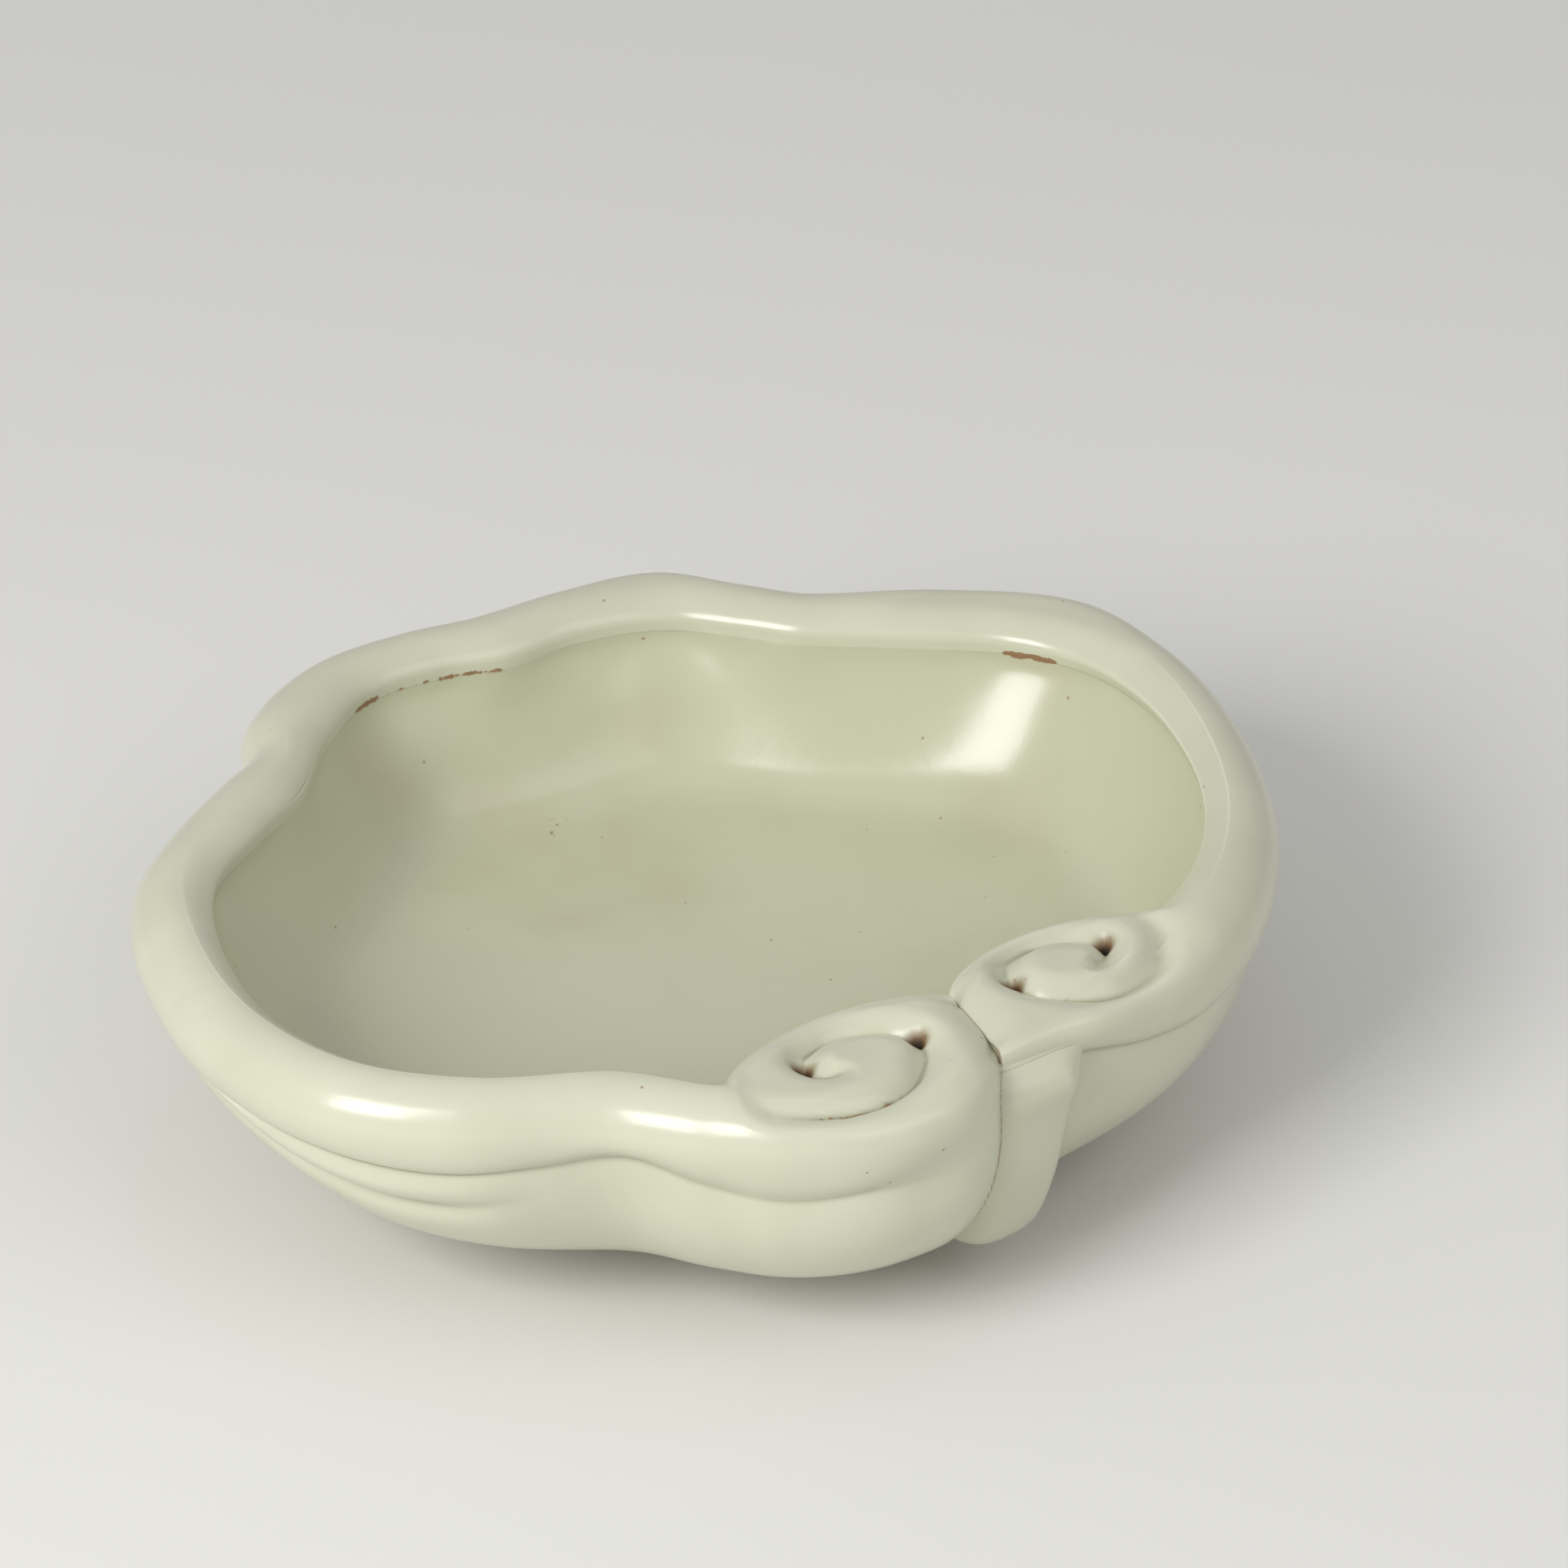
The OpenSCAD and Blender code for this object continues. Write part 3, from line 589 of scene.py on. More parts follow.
def calm_rim(c, grid, rows):
    """Along the rim, the lobes fade soon below the lip, and the pinch in the edge only dents the shoulder."""
    along_rim = ramp((c.angle + 20) / 25) * ramp((215 - c.angle) / 25)
    share = ramp(below_lip(grid) / LOBE_DEPTH) * along_rim[:, None] * NEAR_WALL
    even_out(grid, INSIDE_ROWS, LOBE_EVEN, share)
    fade = 1 - ramp((np.arange(rows[1] + rows[2]) - rows[1]) / rows[2])
    even_out(grid, top_rows(rows), PINCH_EVEN, bell(c.angle, PINCH_AT, PINCH_RUN)[:, None] * fade)


def ease_notch(c, grid, at, rows):
    """Averages across the columns near a notch, so that rim and scroll flow into each other behind the small
    corner in the lip, which is kept."""
    edge = c.lip + c.way * c.width[:, None]
    length = np.r_[0, np.cumsum(plan_length(np.diff(edge, axis=0)))]
    near = np.flatnonzero(np.abs(length - length[at]) < NOTCH_REACH)
    s = length[near]
    spread = np.maximum(NOTCH_EVEN * bell(s, length[at], NOTCH_WIDE), LEAST)
    weight = np.exp(-0.5 * ((s[:, None] - s[None, :]) / spread[:, None]) ** 2) * np.gradient(s)[None, :]
    even = np.einsum("ij,jkd->ikd", weight / weight.sum(1, keepdims=True), grid[near])
    row = np.arange(grid.shape[1]) - LIP_ROW - rows[0]
    share = ramp(row / (0.8 * rows[1]))
    eased = grid.copy()
    eased[near] += share[None, :, None] * (even - grid[near])
    return eased


print("columns shared across a notch:", HALO_RIM, "of the rim and", HALO_SCROLL, "of a scroll")


# %% Rounded grids
def rounded_grid(c, rows, cuts, notches):
    """Grid of neighbouring runs of columns, split at the cuts because only scroll columns are carved. The
    carved tops are rounded along the runs too."""
    runs = [section_grid(c[a:b], rows) for a, b in zip([0] + cuts, cuts + [len(c.angle)])]
    grid = melt(np.concatenate(runs), spreads(c, rows))
    if rows == SCROLL_ROWS:
        even_out(grid, top_rows(rows), CARVE_EVEN, np.ones((len(grid), rows[1] + rows[2])))
    beside_crease = ramp((from_crease(c.angle) - 5) / 20)[:, None]
    share = ramp(below_lip(grid) / WALL_DEPTH) * beside_crease * NEAR_WALL
    even_out(grid, INSIDE_ROWS, WALL_EVEN, share)
    if rows == RIM_ROWS:
        calm_rim(c, grid, rows)
    for at in notches:
        grid = ease_notch(c, grid, at, rows)
    return grid


right_cols = right_run + rim_run[1:HALO_RIM + 1]
rim_cols = right_run[N_SCROLL - HALO_SCROLL:N_SCROLL] + rim_run + left_run[1:HALO_SCROLL + 1]
left_cols = rim_run[N_RIM - HALO_RIM:N_RIM] + left_run
rim_end = HALO_SCROLL + N_RIM
right_grid = rounded_grid(right_cols, SCROLL_ROWS, [N_SCROLL + 1], [N_SCROLL])
rim_grid = rounded_grid(rim_cols, RIM_ROWS, [HALO_SCROLL, rim_end + 1], [HALO_SCROLL, rim_end])
left_grid = rounded_grid(left_cols, SCROLL_ROWS, [HALO_RIM], [HALO_RIM])
grids = (right_grid, rim_grid, left_grid)
print("grids", [grid.shape for grid in grids])

# %% [markdown]
# Two things are measured on each grid: which way the surface faces, so that neighbouring pieces shade
# as one glazed skin, and how it curves. Glaze runs thin and pale over edges and gathers, greener, in
# hollows, so the curvature becomes the map that later colours the glaze.


# %% Facing and curvature
def facing(grid):
    """Outward unit vector: the cross product of the steps along the rows and along the columns."""
    n = np.cross(np.gradient(grid, axis=1), np.gradient(grid, axis=0))
    return n / np.maximum(np.linalg.norm(n, axis=-1, keepdims=True), 1e-9)


def curving(grid, normal):
    """Mean curvature per millimetre from the first and second steps of the grid, positive in hollows."""
    du, dv = np.gradient(grid, axis=0), np.gradient(grid, axis=1)
    duu, dvv = np.gradient(du, axis=0), np.gradient(dv, axis=1)
    duv = np.gradient(du, axis=1)
    dot = lambda a, b: (a * b).sum(-1)
    E, F, G = dot(du, du), dot(du, dv), dot(dv, dv)
    e, f, g = dot(duu, normal), dot(duv, normal), dot(dvv, normal)
    area = np.maximum(E * G - F * F, 1e-9)
    return (e * G - 2 * f * F + g * E) / (2 * area)


facings = [facing(grid) for grid in grids]
curves = [curving(grid, normal) for grid, normal in zip(grids, facings)]
print("curvature on the left scroll from", curves[2].min(), "to", curves[2].max(), "per mm")

# %% [markdown]
# Pieces are sewn from patches of such grids. Points that coincide are merged, so seams and poles close,
# and every patch keeps its own facing at the corners of its triangles. Hidden beds and end faces close
# each piece into a solid, as the clay pieces are.

# %% Sewing patches into a piece
MAPS = ("pool", "thin", "stain_and_pit_shade", "rust", "inside")
MERGE = 2e-3


def triangles_of(n, m):
    """Two triangles for each cell of an n by m grid of points."""
    i = np.arange(n * m).reshape(n, m)
    a, b, c, d = i[:-1, :-1], i[1:, :-1], i[1:, 1:], i[:-1, 1:]
    return np.concatenate([np.stack([a, c, b], -1).reshape(-1, 3), np.stack([a, d, c], -1).reshape(-1, 3)])


def strip(first, second, axis=1):
    """Strip of cells between two lines of points."""
    return np.stack([first, second], axis)


def plain(*parts):
    """Patches without marks, on which each triangle faces its own way."""
    return [(part, None, {}) for part in parts]


def gather(patches):
    """Points, corners of triangles, facings and maps of patches in one list each, coinciding points merged
    and triangles without area left out."""
    points, corners, normals, maps = [], [], [], []
    start = 0
    for grid, normal, tones in patches:
        n, m = grid.shape[:2]
        tri = triangles_of(n, m)
        flat = grid.reshape(-1, 3)
        if normal is None:
            cross = np.cross(flat[tri[:, 1]] - flat[tri[:, 0]], flat[tri[:, 2]] - flat[tri[:, 0]])
            size = np.maximum(np.linalg.norm(cross, axis=1, keepdims=True), 1e-9)
            own = np.repeat((cross / size)[:, None, :], 3, 1)
        else:
            own = normal.reshape(-1, 3)[tri]
        points.append(flat)
        corners.append(tri + start)
        normals.append(own)
        maps.append(np.stack([np.broadcast_to(tones.get(k, 0.0), (n, m)).reshape(-1) for k in MAPS], 1))
        start += n * m
    points, corners = np.concatenate(points), np.concatenate(corners)
    normals, maps = np.concatenate(normals), np.concatenate(maps)
    rounded = np.round(points / MERGE).astype(np.int64)
    _, first, same = np.unique(rounded, axis=0, return_index=True, return_inverse=True)
    corners = same.reshape(-1)[corners]
    whole = (corners != np.roll(corners, -1, axis=1)).all(1)
    return points[first], corners[whole], normals[whole], maps[first]


def sew(name, patches):
    """Mesh object from patches of (points, facing or None, colour maps), in millimetres."""
    points, corners, normals, maps = gather(patches)
    mesh = bpy.data.meshes.new(name)
    mesh.vertices.add(len(points))
    mesh.vertices.foreach_set("co", (points * MM).astype(np.float32).ravel())
    mesh.loops.add(corners.size)
    mesh.loops.foreach_set("vertex_index", corners.astype(np.int32).ravel())
    mesh.polygons.add(len(corners))
    mesh.polygons.foreach_set("loop_start", np.arange(0, corners.size, 3, dtype=np.int32))
    mesh.polygons.foreach_set("use_smooth", np.ones(len(corners), bool))
    mesh.update(calc_edges=True)
    for k, key in enumerate(MAPS):
        mesh.attributes.new(key, "FLOAT", "POINT").data.foreach_set("value", maps[:, k].astype(np.float32))
    mesh.normals_split_custom_set(normals.reshape(-1, 3))
    piece = bpy.data.objects.new(name, mesh)
    bpy.context.scene.collection.objects.link(piece)
    print(name, len(points), "points", len(corners), "triangles")
    return piece


print("maps on every piece:", MAPS)

# %% [markdown]
# Besides the curvature there are marks of age and firing. A brown hairline runs down the crease, the pits
# hold a brown iron stain round a dark middle that is painted shade of the hole, part of the left groove
# holds iron, and the glaze has broken in four places under the back rim. The map of stain and pit shade is
# solid, and the rust map is broken up later by a noise. Dark paint would be simpler, but a map on the
# points lets colour and roughness follow the same mark.

# %% Marks on the scrolls
HAIRLINE, HAIRLINE_WIDE = 0.45, 0.2
SCROLL_TOP_Z = 44.0
# The pits' stain bell gives a brown stain ring and, at its middle, the painted shade of the hole.
PIT_STAIN_AND_SHADE_R, PIT_RUST, PIT_RUST_AT, PIT_RUST_R = 2.0, 0.5, 0.5, 2.4
SEEP, SEEP_OUT, SEEP_WIDE, SEEP_FROM, SEEP_TO, SEEP_EASE = 0.55, 0.1, 0.9, 15.0, 125.0, 25.0


def plan_points(grid):
    """Plan points of a grid, seen from the pole."""
    return grid[..., :2] - POLE


def crease_stain(grid):
    """The brown hairline: a narrow bell across the crease, outside the junction."""
    p = plan_points(grid)
    ahead = ((p - JUNCTION) * CREASE_WAY).sum(-1)
    return HAIRLINE * bell(crease_gap(p), 0, HAIRLINE_WIDE) * ramp((ahead - 1) / 3)


def scroll_marks(grid, side):
    """Stain in the pits, whose dark middle is painted shade of the hole, and at the crease; rust round the
    pits and along the front of the left groove.
    """
    v, turns = spiral_turns(plan_points(grid), side)
    pits = list(pit_gaps(v, side))
    top = ramp((grid[..., 2] - SCROLL_TOP_Z) / 2)
    # In a pit the stain rises to 1 at the middle, where it is painted shade of the hole.
    stain_and_pit_shade = np.maximum(crease_stain(grid), top * sum(bell(gap, 0, PIT_STAIN_AND_SHADE_R) for gap in pits))
    rust = top * sum(PIT_RUST * bell(gap, PIT_RUST_AT, PIT_RUST_R) for gap in pits)
    if side < 0:
        t, d = turns[1]
        along = ramp((t - SEEP_FROM) / SEEP_EASE) * ramp((SEEP_TO - t) / SEEP_EASE)
        rust = rust + top * SEEP * bell(d, SEEP_OUT, SEEP_WIDE) * along
    return np.clip(stain_and_pit_shade, 0, 1), np.clip(rust, 0, 1)


print("pits' stain reaches", PIT_STAIN_AND_SHADE_R, "mm")

# %% Marks inside
FLAWS = [(103, 3.2, 0.8), (96, 4.0, 0.45), (88, 5.0, 0.6), (16, 4.2, 0.95)]
FLAW_Z, FLAW_HIGH, FLAW_DEEP = 49.9, 0.7, 4.0
DUST, DUST_RUST = [(82, 64, 6), (30, 61, 6)], 0.3
POOL_GAIN, POOL_FROM, THIN_GAIN, THIN_FROM = 1.8, 0.06, 1.6, 0.15


def inside_rust(grid):
    """Rust just under the back lip, from rows of (angle, half width, strength), and dusty spots near the
    floor's edge, from rows of (angle, reach, size)."""
    p = plan_points(grid)
    a = np.degrees(np.arctan2(p[..., 1], p[..., 0]))
    behind_lip = plan_length(p) - smooth_curve(LIP_CURVE, np.clip(a, RIGHT_AT, LEFT_AT))
    under = bell(grid[..., 2], FLAW_Z, FLAW_HIGH) * ramp((FLAW_DEEP - behind_lip) / 2)
    rust = sum(strength * under * ramp((half - np.abs(a - middle)) / 1.5) for middle, half, strength in FLAWS)
    for angle, reach, size in DUST:
        gap = plan_length(p - polar(angle, reach))
        rust = rust + DUST_RUST * bell(gap, 0, size)
    return rust


def tone_maps(curve, stain_and_pit_shade=0.0, rust=0.0, inside=0.0):
    """Colour maps of a patch: hollows pool the glaze, edges thin it."""
    pool = np.clip(curve * POOL_GAIN - POOL_FROM, 0, 1)
    thin = np.clip(-curve * THIN_GAIN - THIN_FROM, 0, 1)
    return {"pool": pool, "thin": thin, "stain_and_pit_shade": stain_and_pit_shade, "rust": rust, "inside": inside}


print("marks inside:", len(FLAWS), "flaws under the lip and", len(DUST), "dusty spots")

# %% [markdown]
# The rim and the two scrolls are one roll of clay in three lengths. Each length is closed below by the
# bed on which it lies on the wall, and at its ends by flat faces, which nobody sees.


# %% Rolled rim and scrolls
def fan_cap(outline, turn):
    """Flat end of a roll: triangles between its outline and a middle point."""
    middle = np.broadcast_to(outline.mean(0), outline.shape)
    closed = lambda line: np.concatenate([line, line[:1]])
    pair = [closed(outline), closed(middle)]
    return np.stack(pair if turn else pair[::-1])


KEEPS = (slice(0, N_SCROLL + 1), slice(HALO_SCROLL, rim_end + 1), slice(HALO_RIM, HALO_RIM + N_SCROLL + 1))


def roll_piece(name, run, rows, marks):
    """A length of the roll, which is run 0, 1 or 2: its skin, the bed under it, and its two ends."""
    part = (KEEPS[run], slice(LIP_ROW, LIP_ROW + sum(rows) + 1))
    skin = grids[run][part]
    bed = strip(skin[:, -1], skin[:, 0])
    tones = tone_maps(curves[run][part], *marks(skin))
    ends = (fan_cap(skin[0], False), fan_cap(skin[-1], True))
    return sew(name, [(skin, facings[run][part], tones), *plain(bed, *ends)])


right_scroll = roll_piece("glazed_right_scroll", 0, SCROLL_ROWS, lambda skin: scroll_marks(skin, 1))
rim_roll = roll_piece("glazed_rim_roll", 1, RIM_ROWS, lambda skin: (0.0, inside_rust(skin)))
left_scroll = roll_piece("glazed_left_scroll", 2, SCROLL_ROWS, lambda skin: scroll_marks(skin, -1))

# %% [markdown]
# The wall runs all the way round under the roll. It takes every second column of the same grids, which
# is fine enough for its slow curves. Its outside keeps the sharp meeting of both ends at the crease.


# %% Bowl wall
def all_round(parts, rows):
    """Chosen rows of the three runs in order round the washer, every second column, closed at the crease."""
    runs = [part[keep][:-1:2, rows] for part, keep in zip(parts, KEEPS)]
    return np.concatenate(runs + [parts[0][:1, rows]])


DISH_ROWS, INSIDE, OUTSIDE = slice(0, N_DISH + 1), slice(N_DISH, LIP_ROW + 1), slice(-N_OUT - 1, None)
inside_skin, outside_skin = all_round(grids, INSIDE), all_round(grids, OUTSIDE)
inside_facing, outside_facing = all_round(facings, INSIDE), all_round(facings, OUTSIDE)
outside_facing[-1] = facings[2][KEEPS[2]][-1, OUTSIDE]
bowl_wall = sew("glazed_bowl_wall", [
    (inside_skin, inside_facing, tone_maps(all_round(curves, INSIDE), 0.0, inside_rust(inside_skin), 1.0)),
    (outside_skin, outside_facing, tone_maps(all_round(curves, OUTSIDE), crease_stain(outside_skin))),
    *plain(strip(inside_skin[:, -1], outside_skin[:, 0]), strip(outside_skin[:, -1], inside_skin[:, 0]))])

# %% [markdown]
# The floor closes the bowl. Seen from above it is a shallow dish that runs on from the wall without a
# seam, and below it is flat. Its rows shrink towards the pole, where they end in one shared point. The
# curvature can't be measured on the tiny triangles there, so its map starts further out.

# %% Floor
POLE_ROWS = 6
floor_skin, floor_facing = all_round(grids, DISH_ROWS), all_round(facings, DISH_ROWS)
pole_row = np.broadcast_to([POLE[0], POLE[1], FLOOR_EDGE_Z - FLOOR_DISH], (len(floor_skin), 1, 3))
upright = np.broadcast_to([0.0, 0.0, 1.0], pole_row.shape)
floor_skin = np.concatenate([pole_row, floor_skin], 1)
floor_facing = np.concatenate([upright, floor_facing], 1)
calm = ramp((np.arange(N_DISH + 1) - POLE_ROWS) / POLE_ROWS)
floor_curve = np.pad(all_round(curves, DISH_ROWS) * calm, ((0, 0), (1, 0)))
rim_line, base_line = floor_skin[:, -1], outside_skin[:, -1]
base_pole = np.broadcast_to([POLE[0], POLE[1], FOOT_H], base_line.shape)
floor = sew("glazed_floor", [
    (floor_skin, floor_facing, tone_maps(floor_curve, 0.0, inside_rust(floor_skin), 1.0)),
    *plain(strip(rim_line, base_line), strip(base_line, base_pole))])

# %% [markdown]
# The foot ring is turned: one profile with rounded lower edges is carried round the pole. It is the
# only part without glaze, because the washer stood on it in the kiln.

# %% Foot ring
FOOT_R, FOOT_W, FOOT_ROUND, N_AROUND = 47.0, 6.0, 1.0, 240
edge_turn = np.linspace(0, np.pi / 2, 7)
foot_r = np.r_[FOOT_R, FOOT_R - FOOT_ROUND + FOOT_ROUND * np.cos(edge_turn),
               FOOT_R - FOOT_W + FOOT_ROUND - FOOT_ROUND * np.sin(edge_turn), FOOT_R - FOOT_W, FOOT_R]
foot_z = np.r_[FOOT_H, FOOT_ROUND - FOOT_ROUND * np.sin(edge_turn),
               FOOT_ROUND - FOOT_ROUND * np.cos(edge_turn), FOOT_H, FOOT_H]
around = np.linspace(0, 2 * np.pi, N_AROUND + 1)
foot_grid = np.stack([POLE[0] + np.cos(around)[:, None] * foot_r, POLE[1] + np.sin(around)[:, None] * foot_r,
                      np.broadcast_to(foot_z, (len(around), len(foot_z)))], -1)
foot_grid[-1] = foot_grid[0]
foot_ring = sew("biscuit_foot_ring", plain(foot_grid))

# %% [markdown]
# The stalk is a finger of clay pressed onto the outside, right of the crease. It grows out of the roll's
# side with a slight knuckle, then hangs almost straight down while the wall draws back behind it, and
# ends in a blunt tip. Its left edge runs on into the left scroll's bulge, as the real one is tucked
# under it. A bent tube would leave a gap at the wall, so the stalk is raised from the wall's own surface.

# %% The stalk's seat
STALK_FROM, STALK_TURN, STALK_REACH = -3.0, 12.5, 65.0
N_ACROSS, N_UPPER, N_DOWN = 90, 24, 110


def stalk_seat(angle, to_right):
    """The surface under the stalk: the roll's side and the outside wall, with the groove at its right end
    only. Left of the crease it is the cut at the crease, turned round the pole."""
    held = np.maximum(angle, CREASE_AT)
    c = scroll_columns((held - RIGHT_AT) / (CREASE_AT - RIGHT_AT), 1)
    tuck = groove_tuck(held) * ramp((to_right - 0.7) / 0.3)
    q, z = roll_rows(c, tuck, 2, 2, 2, N_UPPER)
    side = place(c, q[:, -N_UPPER - 1:], z[:, -N_UPPER - 1:])
    wall = outer_wall(c, tuck, STALK_REACH * np.arange(1, N_DOWN + 1) / N_DOWN)
    seat = np.concatenate([side, wall], 1)
    turn = np.radians(angle - held)[:, None]
    x, y = seat[..., 0] - POLE[0], seat[..., 1] - POLE[1]
    seat[..., 0] = POLE[0] + x * np.cos(turn) - y * np.sin(turn)
    seat[..., 1] = POLE[1] + x * np.sin(turn) + y * np.cos(turn)
    return seat


to_right = np.linspace(0, 1, N_ACROSS + 1)
stalk_angle = CREASE_AT + STALK_FROM + (STALK_TURN - STALK_FROM) * to_right
seat = stalk_seat(stalk_angle, to_right)
print("seat of the stalk, from", seat[..., 2].max(), "mm down to", seat[..., 2].min())

# %% The stalk's skin
STALK_OUT, STALK_TIP, STALK_NARROW, STALK_HANG = 2.2, 13.5, 1.6, 25.0
NECK_UP, NECK_SLANT, NECK_LONG = 1.8, 1.5, 7.0
KNUCKLE, KNUCKLE_DOWN, KNUCKLE_LONG = 1.8, 6.0, 5.0
SUNK, BED, STALK_ROUND = 0.7, 0.8, 1.6
steps = np.linalg.norm(np.diff(seat, axis=1), axis=-1).mean(0)
down = np.r_[0, np.cumsum(steps)] / steps.sum()
to_right, a = to_right[:, None], np.radians(stalk_angle)[:, None]
leftwards = np.stack([np.sin(a), -np.cos(a), 0 * a], -1)
seat = seat + (STALK_NARROW * ramp(2 * down) * to_right)[..., None] * leftwards
fall = seat[:, :1, 2] - seat[..., 2]
neck = ramp((fall + NECK_UP - NECK_SLANT * to_right) / NECK_LONG)
rounding = np.sqrt(np.clip(1 - np.abs(2 * to_right - 1) ** 3, 0, 1))
swell = rounding * np.sqrt(np.clip(1 - down ** 10, 0, 1)) * neck
full = STALK_OUT + (STALK_TIP - STALK_OUT) * down ** 3 + KNUCKLE * bell(fall, KNUCKLE_DOWN, KNUCKLE_LONG)
hang = np.radians(STALK_HANG * down)[None, :] + 0 * a
stalk_way = np.stack([np.cos(a) * np.cos(hang), np.sin(a) * np.cos(hang), -np.sin(hang)], -1)
stalk_skin = seat + (-SUNK + (full + SUNK) * swell)[..., None] * stalk_way
stalk_skin = melt(stalk_skin, np.full(swell.shape, STALK_ROUND))
stalk_bed = seat - BED * stalk_way
print("stalk from", stalk_skin[..., 2].max(), "mm down to", stalk_skin[..., 2].min())

# %% [markdown]
# Where the left scroll's bulge meets the stalk, the hairline runs on. It is found by comparing, for each
# point of the stalk, its reach with the bulge's reach at the same angle and height. One iron dot sits on
# the stalk.

# %% Hairline beside the stalk
STALK_LINE, STALK_LINE_WIDE = 0.5, 0.25
IRON_DOT, IRON_DOT_AT, IRON_DOT_R = 0.8, (-3.0, -87.0, 40.0), 0.5


def bulge_reach(angle, z, count=48):
    """Reach of the left bulge's outside at angles and heights, from its last columns before the crease."""
    part = left_grid[-count:, LIP_ROW + sum(SCROLL_ROWS[:3]):]
    reach = plan_length(plan_points(part))
    table = np.stack([np.interp(-z, -np.minimum.accumulate(col[:, 2]), own) for col, own in zip(part, reach)])
    first, last = left_cols.angle[-count] - 360, CREASE_AT
    k = np.clip((angle - first) / (last - first) * (count - 1), 0, count - 1)
    low = np.minimum(k.astype(int), count - 2)
    pick = lambda i: np.take_along_axis(table, i[None], 0)[0]
    return pick(low) + (k - low) * (pick(low + 1) - pick(low))


p = plan_points(stalk_skin)
own_angle = np.degrees(np.arctan2(p[..., 1], p[..., 0]))
over = plan_length(p) - bulge_reach(own_angle, stalk_skin[..., 2])
hairline = STALK_LINE * bell(over, 0.1, STALK_LINE_WIDE) * ramp((CREASE_AT + 0.6 - own_angle) / 0.4)
iron_dot = IRON_DOT * bell(np.linalg.norm(stalk_skin - IRON_DOT_AT, axis=-1), 0, IRON_DOT_R)
stalk_facing = facing(stalk_skin)
stalk_tones = tone_maps(curving(stalk_skin, stalk_facing), np.maximum(hairline, iron_dot))
edges = [strip(stalk_bed[0], stalk_skin[0], 0), strip(stalk_skin[-1], stalk_bed[-1], 0),
         strip(stalk_bed[:, 0], stalk_skin[:, 0]), strip(stalk_skin[:, -1], stalk_bed[:, -1])]
stalk = sew("glazed_stalk", [(stalk_skin, stalk_facing, stalk_tones), *plain(stalk_bed[::-1], *edges)])

# %% [markdown]
# Finishes are built from nodes. A small class wraps a node's output, so that sums on it are written as
# ordinary Python and turn into Math nodes.


# %% A value in a material
class Tone:
    """One output of a material's nodes. Plus, minus, times and so on between values add Math nodes."""

    def __init__(self, tree, socket=None):
        self.tree, self.socket = tree, socket

    def node(self, kind, settings, inputs, out=0):
        """Adds a node: settings first, then values or links for its sockets. Returns one output."""
        made = self.tree.nodes.new(kind)
        for key, value in settings.items():
            setattr(made, key, value)
        for key, value in inputs.items():
            if isinstance(value, Tone):
                self.tree.links.new(value.socket, made.inputs[key])
            else:
                made.inputs[key].default_value = value
        return Tone(self.tree, made.outputs[out])

    def math(self, operation, *values):
        """Adds a Math node on values or links."""
        return self.node("ShaderNodeMath", {"operation": operation}, dict(enumerate(values)))

    def mix(self, share, first, second):
        """Colour between two colours."""
        return self.node("ShaderNodeMix", {"data_type": "RGBA"}, {0: share, 6: first, 7: second}, out=2)

    def step(self, low, high):
        """Soft step of this value from 0 at low to 1 at high."""
        return self.node("ShaderNodeMapRange", {"interpolation_type": "SMOOTHSTEP"},
                         {"Value": self, "From Min": low, "From Max": high})

    def __add__(self, other):
        return self.math("ADD", self, other)

    def __radd__(self, other):
        return self.math("ADD", other, self)

    def __sub__(self, other):
        return self.math("SUBTRACT", self, other)

    def __rsub__(self, other):
        return self.math("SUBTRACT", other, self)

    def __mul__(self, other):
        return self.math("MULTIPLY", self, other)

    def __rmul__(self, other):
        return self.math("MULTIPLY", other, self)


def srgb(r, g, b):
    """Colour as seen on a screen, 0 to 255, turned into the linear numbers that shaders use."""
    v = np.array([r, g, b]) / 255
    linear = np.where(v <= 0.04045, v / 12.92, ((v + 0.055) / 1.055) ** 2.4)
    return (*linear.tolist(), 1.0)


def finish(name):
    """New material: its first value, its main shader, and the coordinates of the object."""
    material = bpy.data.materials.new(name)
    material.use_nodes = True
    tree = material.node_tree
    tone = Tone(tree)
    where = tone.node("ShaderNodeTexCoord", {}, {}, out="Object")
    return material, tone, tree.nodes["Principled BSDF"], where


print("mid grey in linear numbers:", srgb(128, 128, 128))

# %% [markdown]
# The glaze is a pale grey green. It is greener where it pools, creamier where it runs thin over an
# edge, a little more olive inside, and clouded everywhere. Small iron specks and pinholes are scattered
# in it, and its surface is not quite even, so that reflections waver. The small functions of this cell
# add nodes to the material that was begun last.

# %% Celadon glaze
GLAZE, CLOUD, POOLED = srgb(202, 202, 180), srgb(196, 197, 174), srgb(160, 163, 136)
THIN, OLIVE, TEA = srgb(220, 218, 201), srgb(187, 188, 160), srgb(170, 160, 126)
# The darkest colour is painted shade in the pits' holes, and the real colour of the iron dot on the stalk.
RUST, BROWN, DARK_IRON_AND_PIT_SHADE = srgb(132, 86, 42), srgb(122, 92, 56), srgb(52, 44, 32)
glaze, tone, glaze_shader, where = finish("celadon_glaze")


def map_value(key):
    """A colour map that is stored on the piece's points."""
    return tone.node("ShaderNodeAttribute", {"attribute_name": key}, {}, out="Fac")


def noise(scale, detail):
    """Cloudy values between 0 and 1, finer with a larger scale."""
    return tone.node("ShaderNodeTexNoise", {}, {"Vector": where, "Scale": scale, "Detail": detail}, out="Fac")


def cells(scale, out):
    """Scattered cells: distance from each cell's middle, or a random colour per cell."""
    return tone.node("ShaderNodeTexVoronoi", {}, {"Vector": where, "Scale": scale}, out=out)


def feed(value, socket):
    """Links a value to a socket of the main shader."""
    tone.tree.links.new(value.socket, socket)


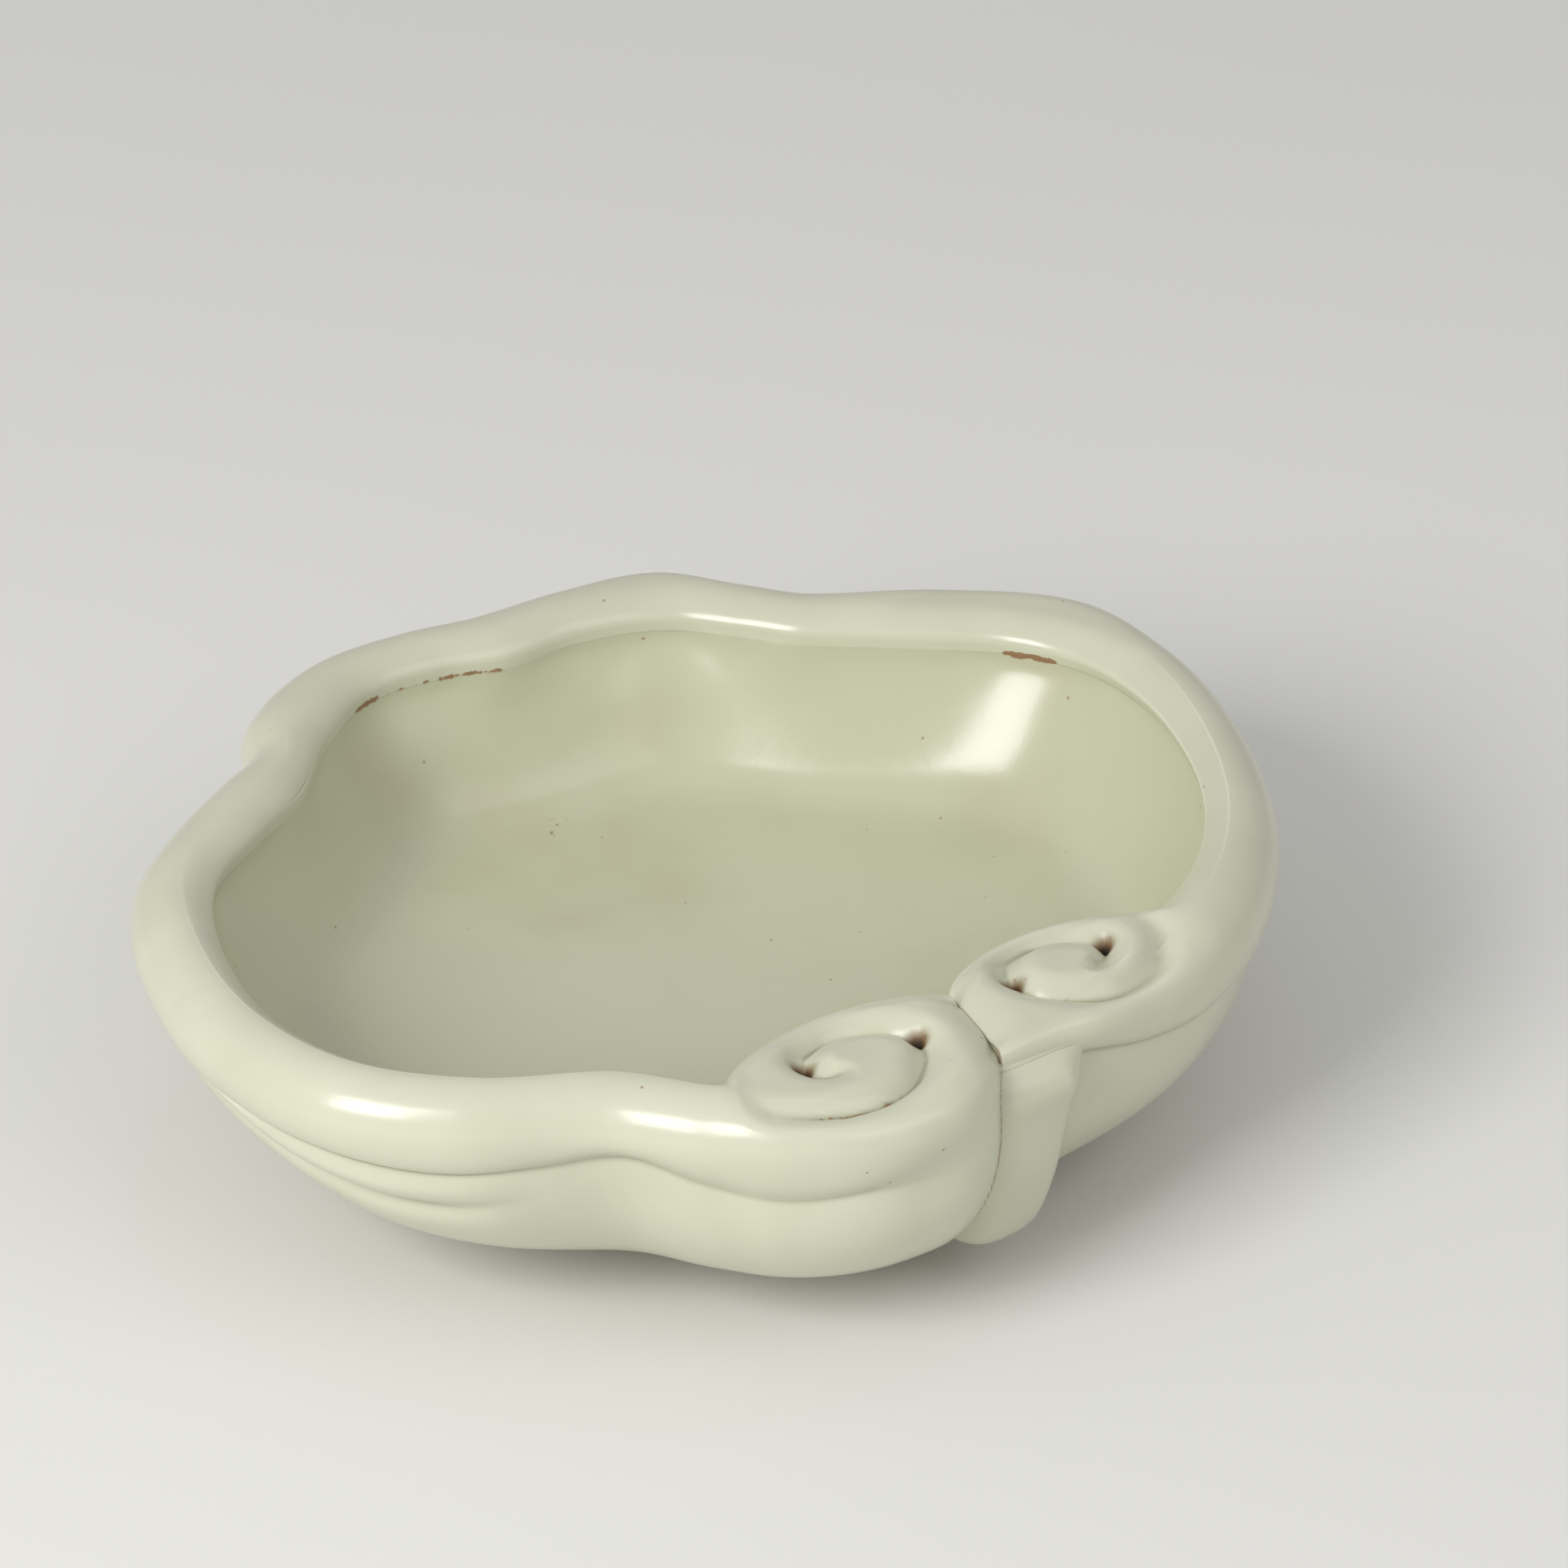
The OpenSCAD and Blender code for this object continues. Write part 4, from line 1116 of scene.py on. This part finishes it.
clouds, grain = noise(38.0, 3.0).step(0.35, 0.65), noise(1400.0, 2.0)
colour = tone.mix(clouds, GLAZE, CLOUD)
colour = tone.mix(map_value("inside") * 0.75, colour, OLIVE)
tea = map_value("inside") * noise(24.0, 5.0).step(0.5, 0.8) * 0.3
colour = tone.mix(tea, colour, TEA)
colour = tone.mix(map_value("pool"), colour, POOLED)
colour = tone.mix(map_value("thin") * 0.8, colour, THIN)
print("glaze: base, pooled and thin colours mixed")

# %% [markdown]
# The marks go on top. A cell of a scattered pattern becomes an iron speck where its random colour is
# high, and a noise eats into the rust map, so that its edges are ragged.

# %% Specks, rust and shine
chosen = tone.node("ShaderNodeSeparateColor", {}, {"Color": cells(210.0, "Color")}).step(0.85, 0.88)
specks = (1 - cells(210.0, "Distance").step(0.04, 0.09)) * chosen
rust = (map_value("rust") + (noise(520.0, 4.0) - 0.5) * 1.3).step(0.42, 0.62)
stain_and_pit_shade = map_value("stain_and_pit_shade")
colour = tone.mix(specks * 0.55, colour, RUST)
colour = tone.mix(rust * 0.85, colour, RUST)
colour = tone.mix(stain_and_pit_shade.step(0.06, 0.7), colour, BROWN)
# Where the stain map is high the glaze turns nearly black: painted shade in the middle of each pit, and the
# real iron dot on the stalk.
colour = tone.mix(stain_and_pit_shade.step(0.5, 0.85), colour, DARK_IRON_AND_PIT_SHADE)
feed(colour, glaze_shader.inputs["Base Color"])
feed(0.18 + 0.06 * grain + 0.5 * stain_and_pit_shade + 0.25 * rust, glaze_shader.inputs["Roughness"])
relief = noise(160.0, 2.0) * 0.7 + grain * 0.12 - specks * 0.4
bump = tone.node("ShaderNodeBump", {}, {"Strength": 0.1, "Distance": 0.0006, "Height": relief})
feed(bump, glaze_shader.inputs["Normal"])
glaze_shader.inputs["IOR"].default_value = 1.5
print("glaze nodes:", len(tone.tree.nodes))

# %% [markdown]
# Bare biscuit is clay without glaze. It is rough, sandy and fired reddish brown, so it gets no gloss, a
# fine bump of sand and slow patches of a darker brown.

# %% Biscuit
biscuit, tone, biscuit_shader, where = finish("bare_biscuit")
sand = noise(900.0, 3.0)
patches = noise(60.0, 3.0).step(0.35, 0.7)
colour = tone.mix(patches, srgb(172, 128, 92), srgb(142, 98, 66))
feed(tone.mix(sand.step(0.55, 0.7) * 0.5, colour, srgb(196, 164, 130)), biscuit_shader.inputs["Base Color"])
feed(0.8 + 0.1 * sand, biscuit_shader.inputs["Roughness"])
bump = tone.node("ShaderNodeBump", {}, {"Strength": 0.4, "Distance": 0.0004, "Height": sand})
feed(bump, biscuit_shader.inputs["Normal"])
print("biscuit nodes:", len(tone.tree.nodes))

# %% [markdown]
# Each piece takes its finish and stands for its solid in the construction. Nothing on the washer
# moves, so all pieces ride on the one body.

# %% Dress the construction
DRESS = [(foot_ring, "foot_ring", biscuit, "biscuit"), (floor, "floor_slab", glaze, "glaze"),
         (bowl_wall, "bowl_wall", glaze, "glaze"), (rim_roll, "rim_roll", glaze, "glaze"),
         (left_scroll, "left_scroll", glaze, "glaze"), (right_scroll, "right_scroll", glaze, "glaze"),
         (stalk, "stalk", glaze, "glaze")]
for piece, node, material, slot in DRESS:
    piece.data.materials.append(material)
    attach(piece, "root")
    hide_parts(node)
print("dressed", len(DRESS), "pieces")

# %% [markdown]
# The washer stands on a plain pale floor under two soft lamps and an even sky. The lamps are kept at a
# level at which a colour renders about as it is written. The left one is small enough to leave a clear
# window of light on the wall opposite.

# %% Studio floor
floor_mesh = bpy.data.meshes.new("studio_floor")
HALF = 12.0
floor_corners = [(-HALF, -HALF, 0), (HALF, -HALF, 0), (HALF, HALF, 0), (-HALF, HALF, 0)]
floor_mesh.from_pydata(floor_corners, [], [(0, 1, 2, 3)])
studio_floor = bpy.data.objects.new("studio_floor", floor_mesh)
bpy.context.scene.collection.objects.link(studio_floor)
pale, tone, pale_shader, where = finish("pale_floor")
paper = noise(3.0, 2.0)
feed(tone.mix(paper, srgb(226, 225, 221), srgb(222, 221, 217)), pale_shader.inputs["Base Color"])
pale_shader.inputs["Roughness"].default_value = 0.9
floor_mesh.materials.append(pale)
print("floor", 2 * HALF, "m wide")

# %% Sky and lamps
world = bpy.data.worlds.new("studio")
world.use_nodes = True
world.node_tree.nodes["Background"].inputs["Color"].default_value = (1.0, 1.0, 1.0, 1.0)
world.node_tree.nodes["Background"].inputs["Strength"].default_value = 0.5
bpy.context.scene.world = world
LAMPS_AIM = (0, 0, 0.05)


def soft_lamp(name, place_at, wide, high, power):
    """Area lamp of a given size in metres, turned to the washer."""
    lamp = bpy.data.lights.new(name, "AREA")
    lamp.shape, lamp.size, lamp.size_y, lamp.energy = "RECTANGLE", wide, high, power
    holder = bpy.data.objects.new(name, lamp)
    holder.location = place_at
    holder.rotation_euler = (Vector(LAMPS_AIM) - Vector(place_at)).to_track_quat("-Z", "Y").to_euler()
    bpy.context.scene.collection.objects.link(holder)


soft_lamp("left_softbox", (-1.28, -0.32, 0.9), 0.7, 0.7, 18.0)
soft_lamp("front_fill", (0.3, -1.2, 1.1), 1.4, 0.8, 4.0)
print("two lamps")

# %% [markdown]
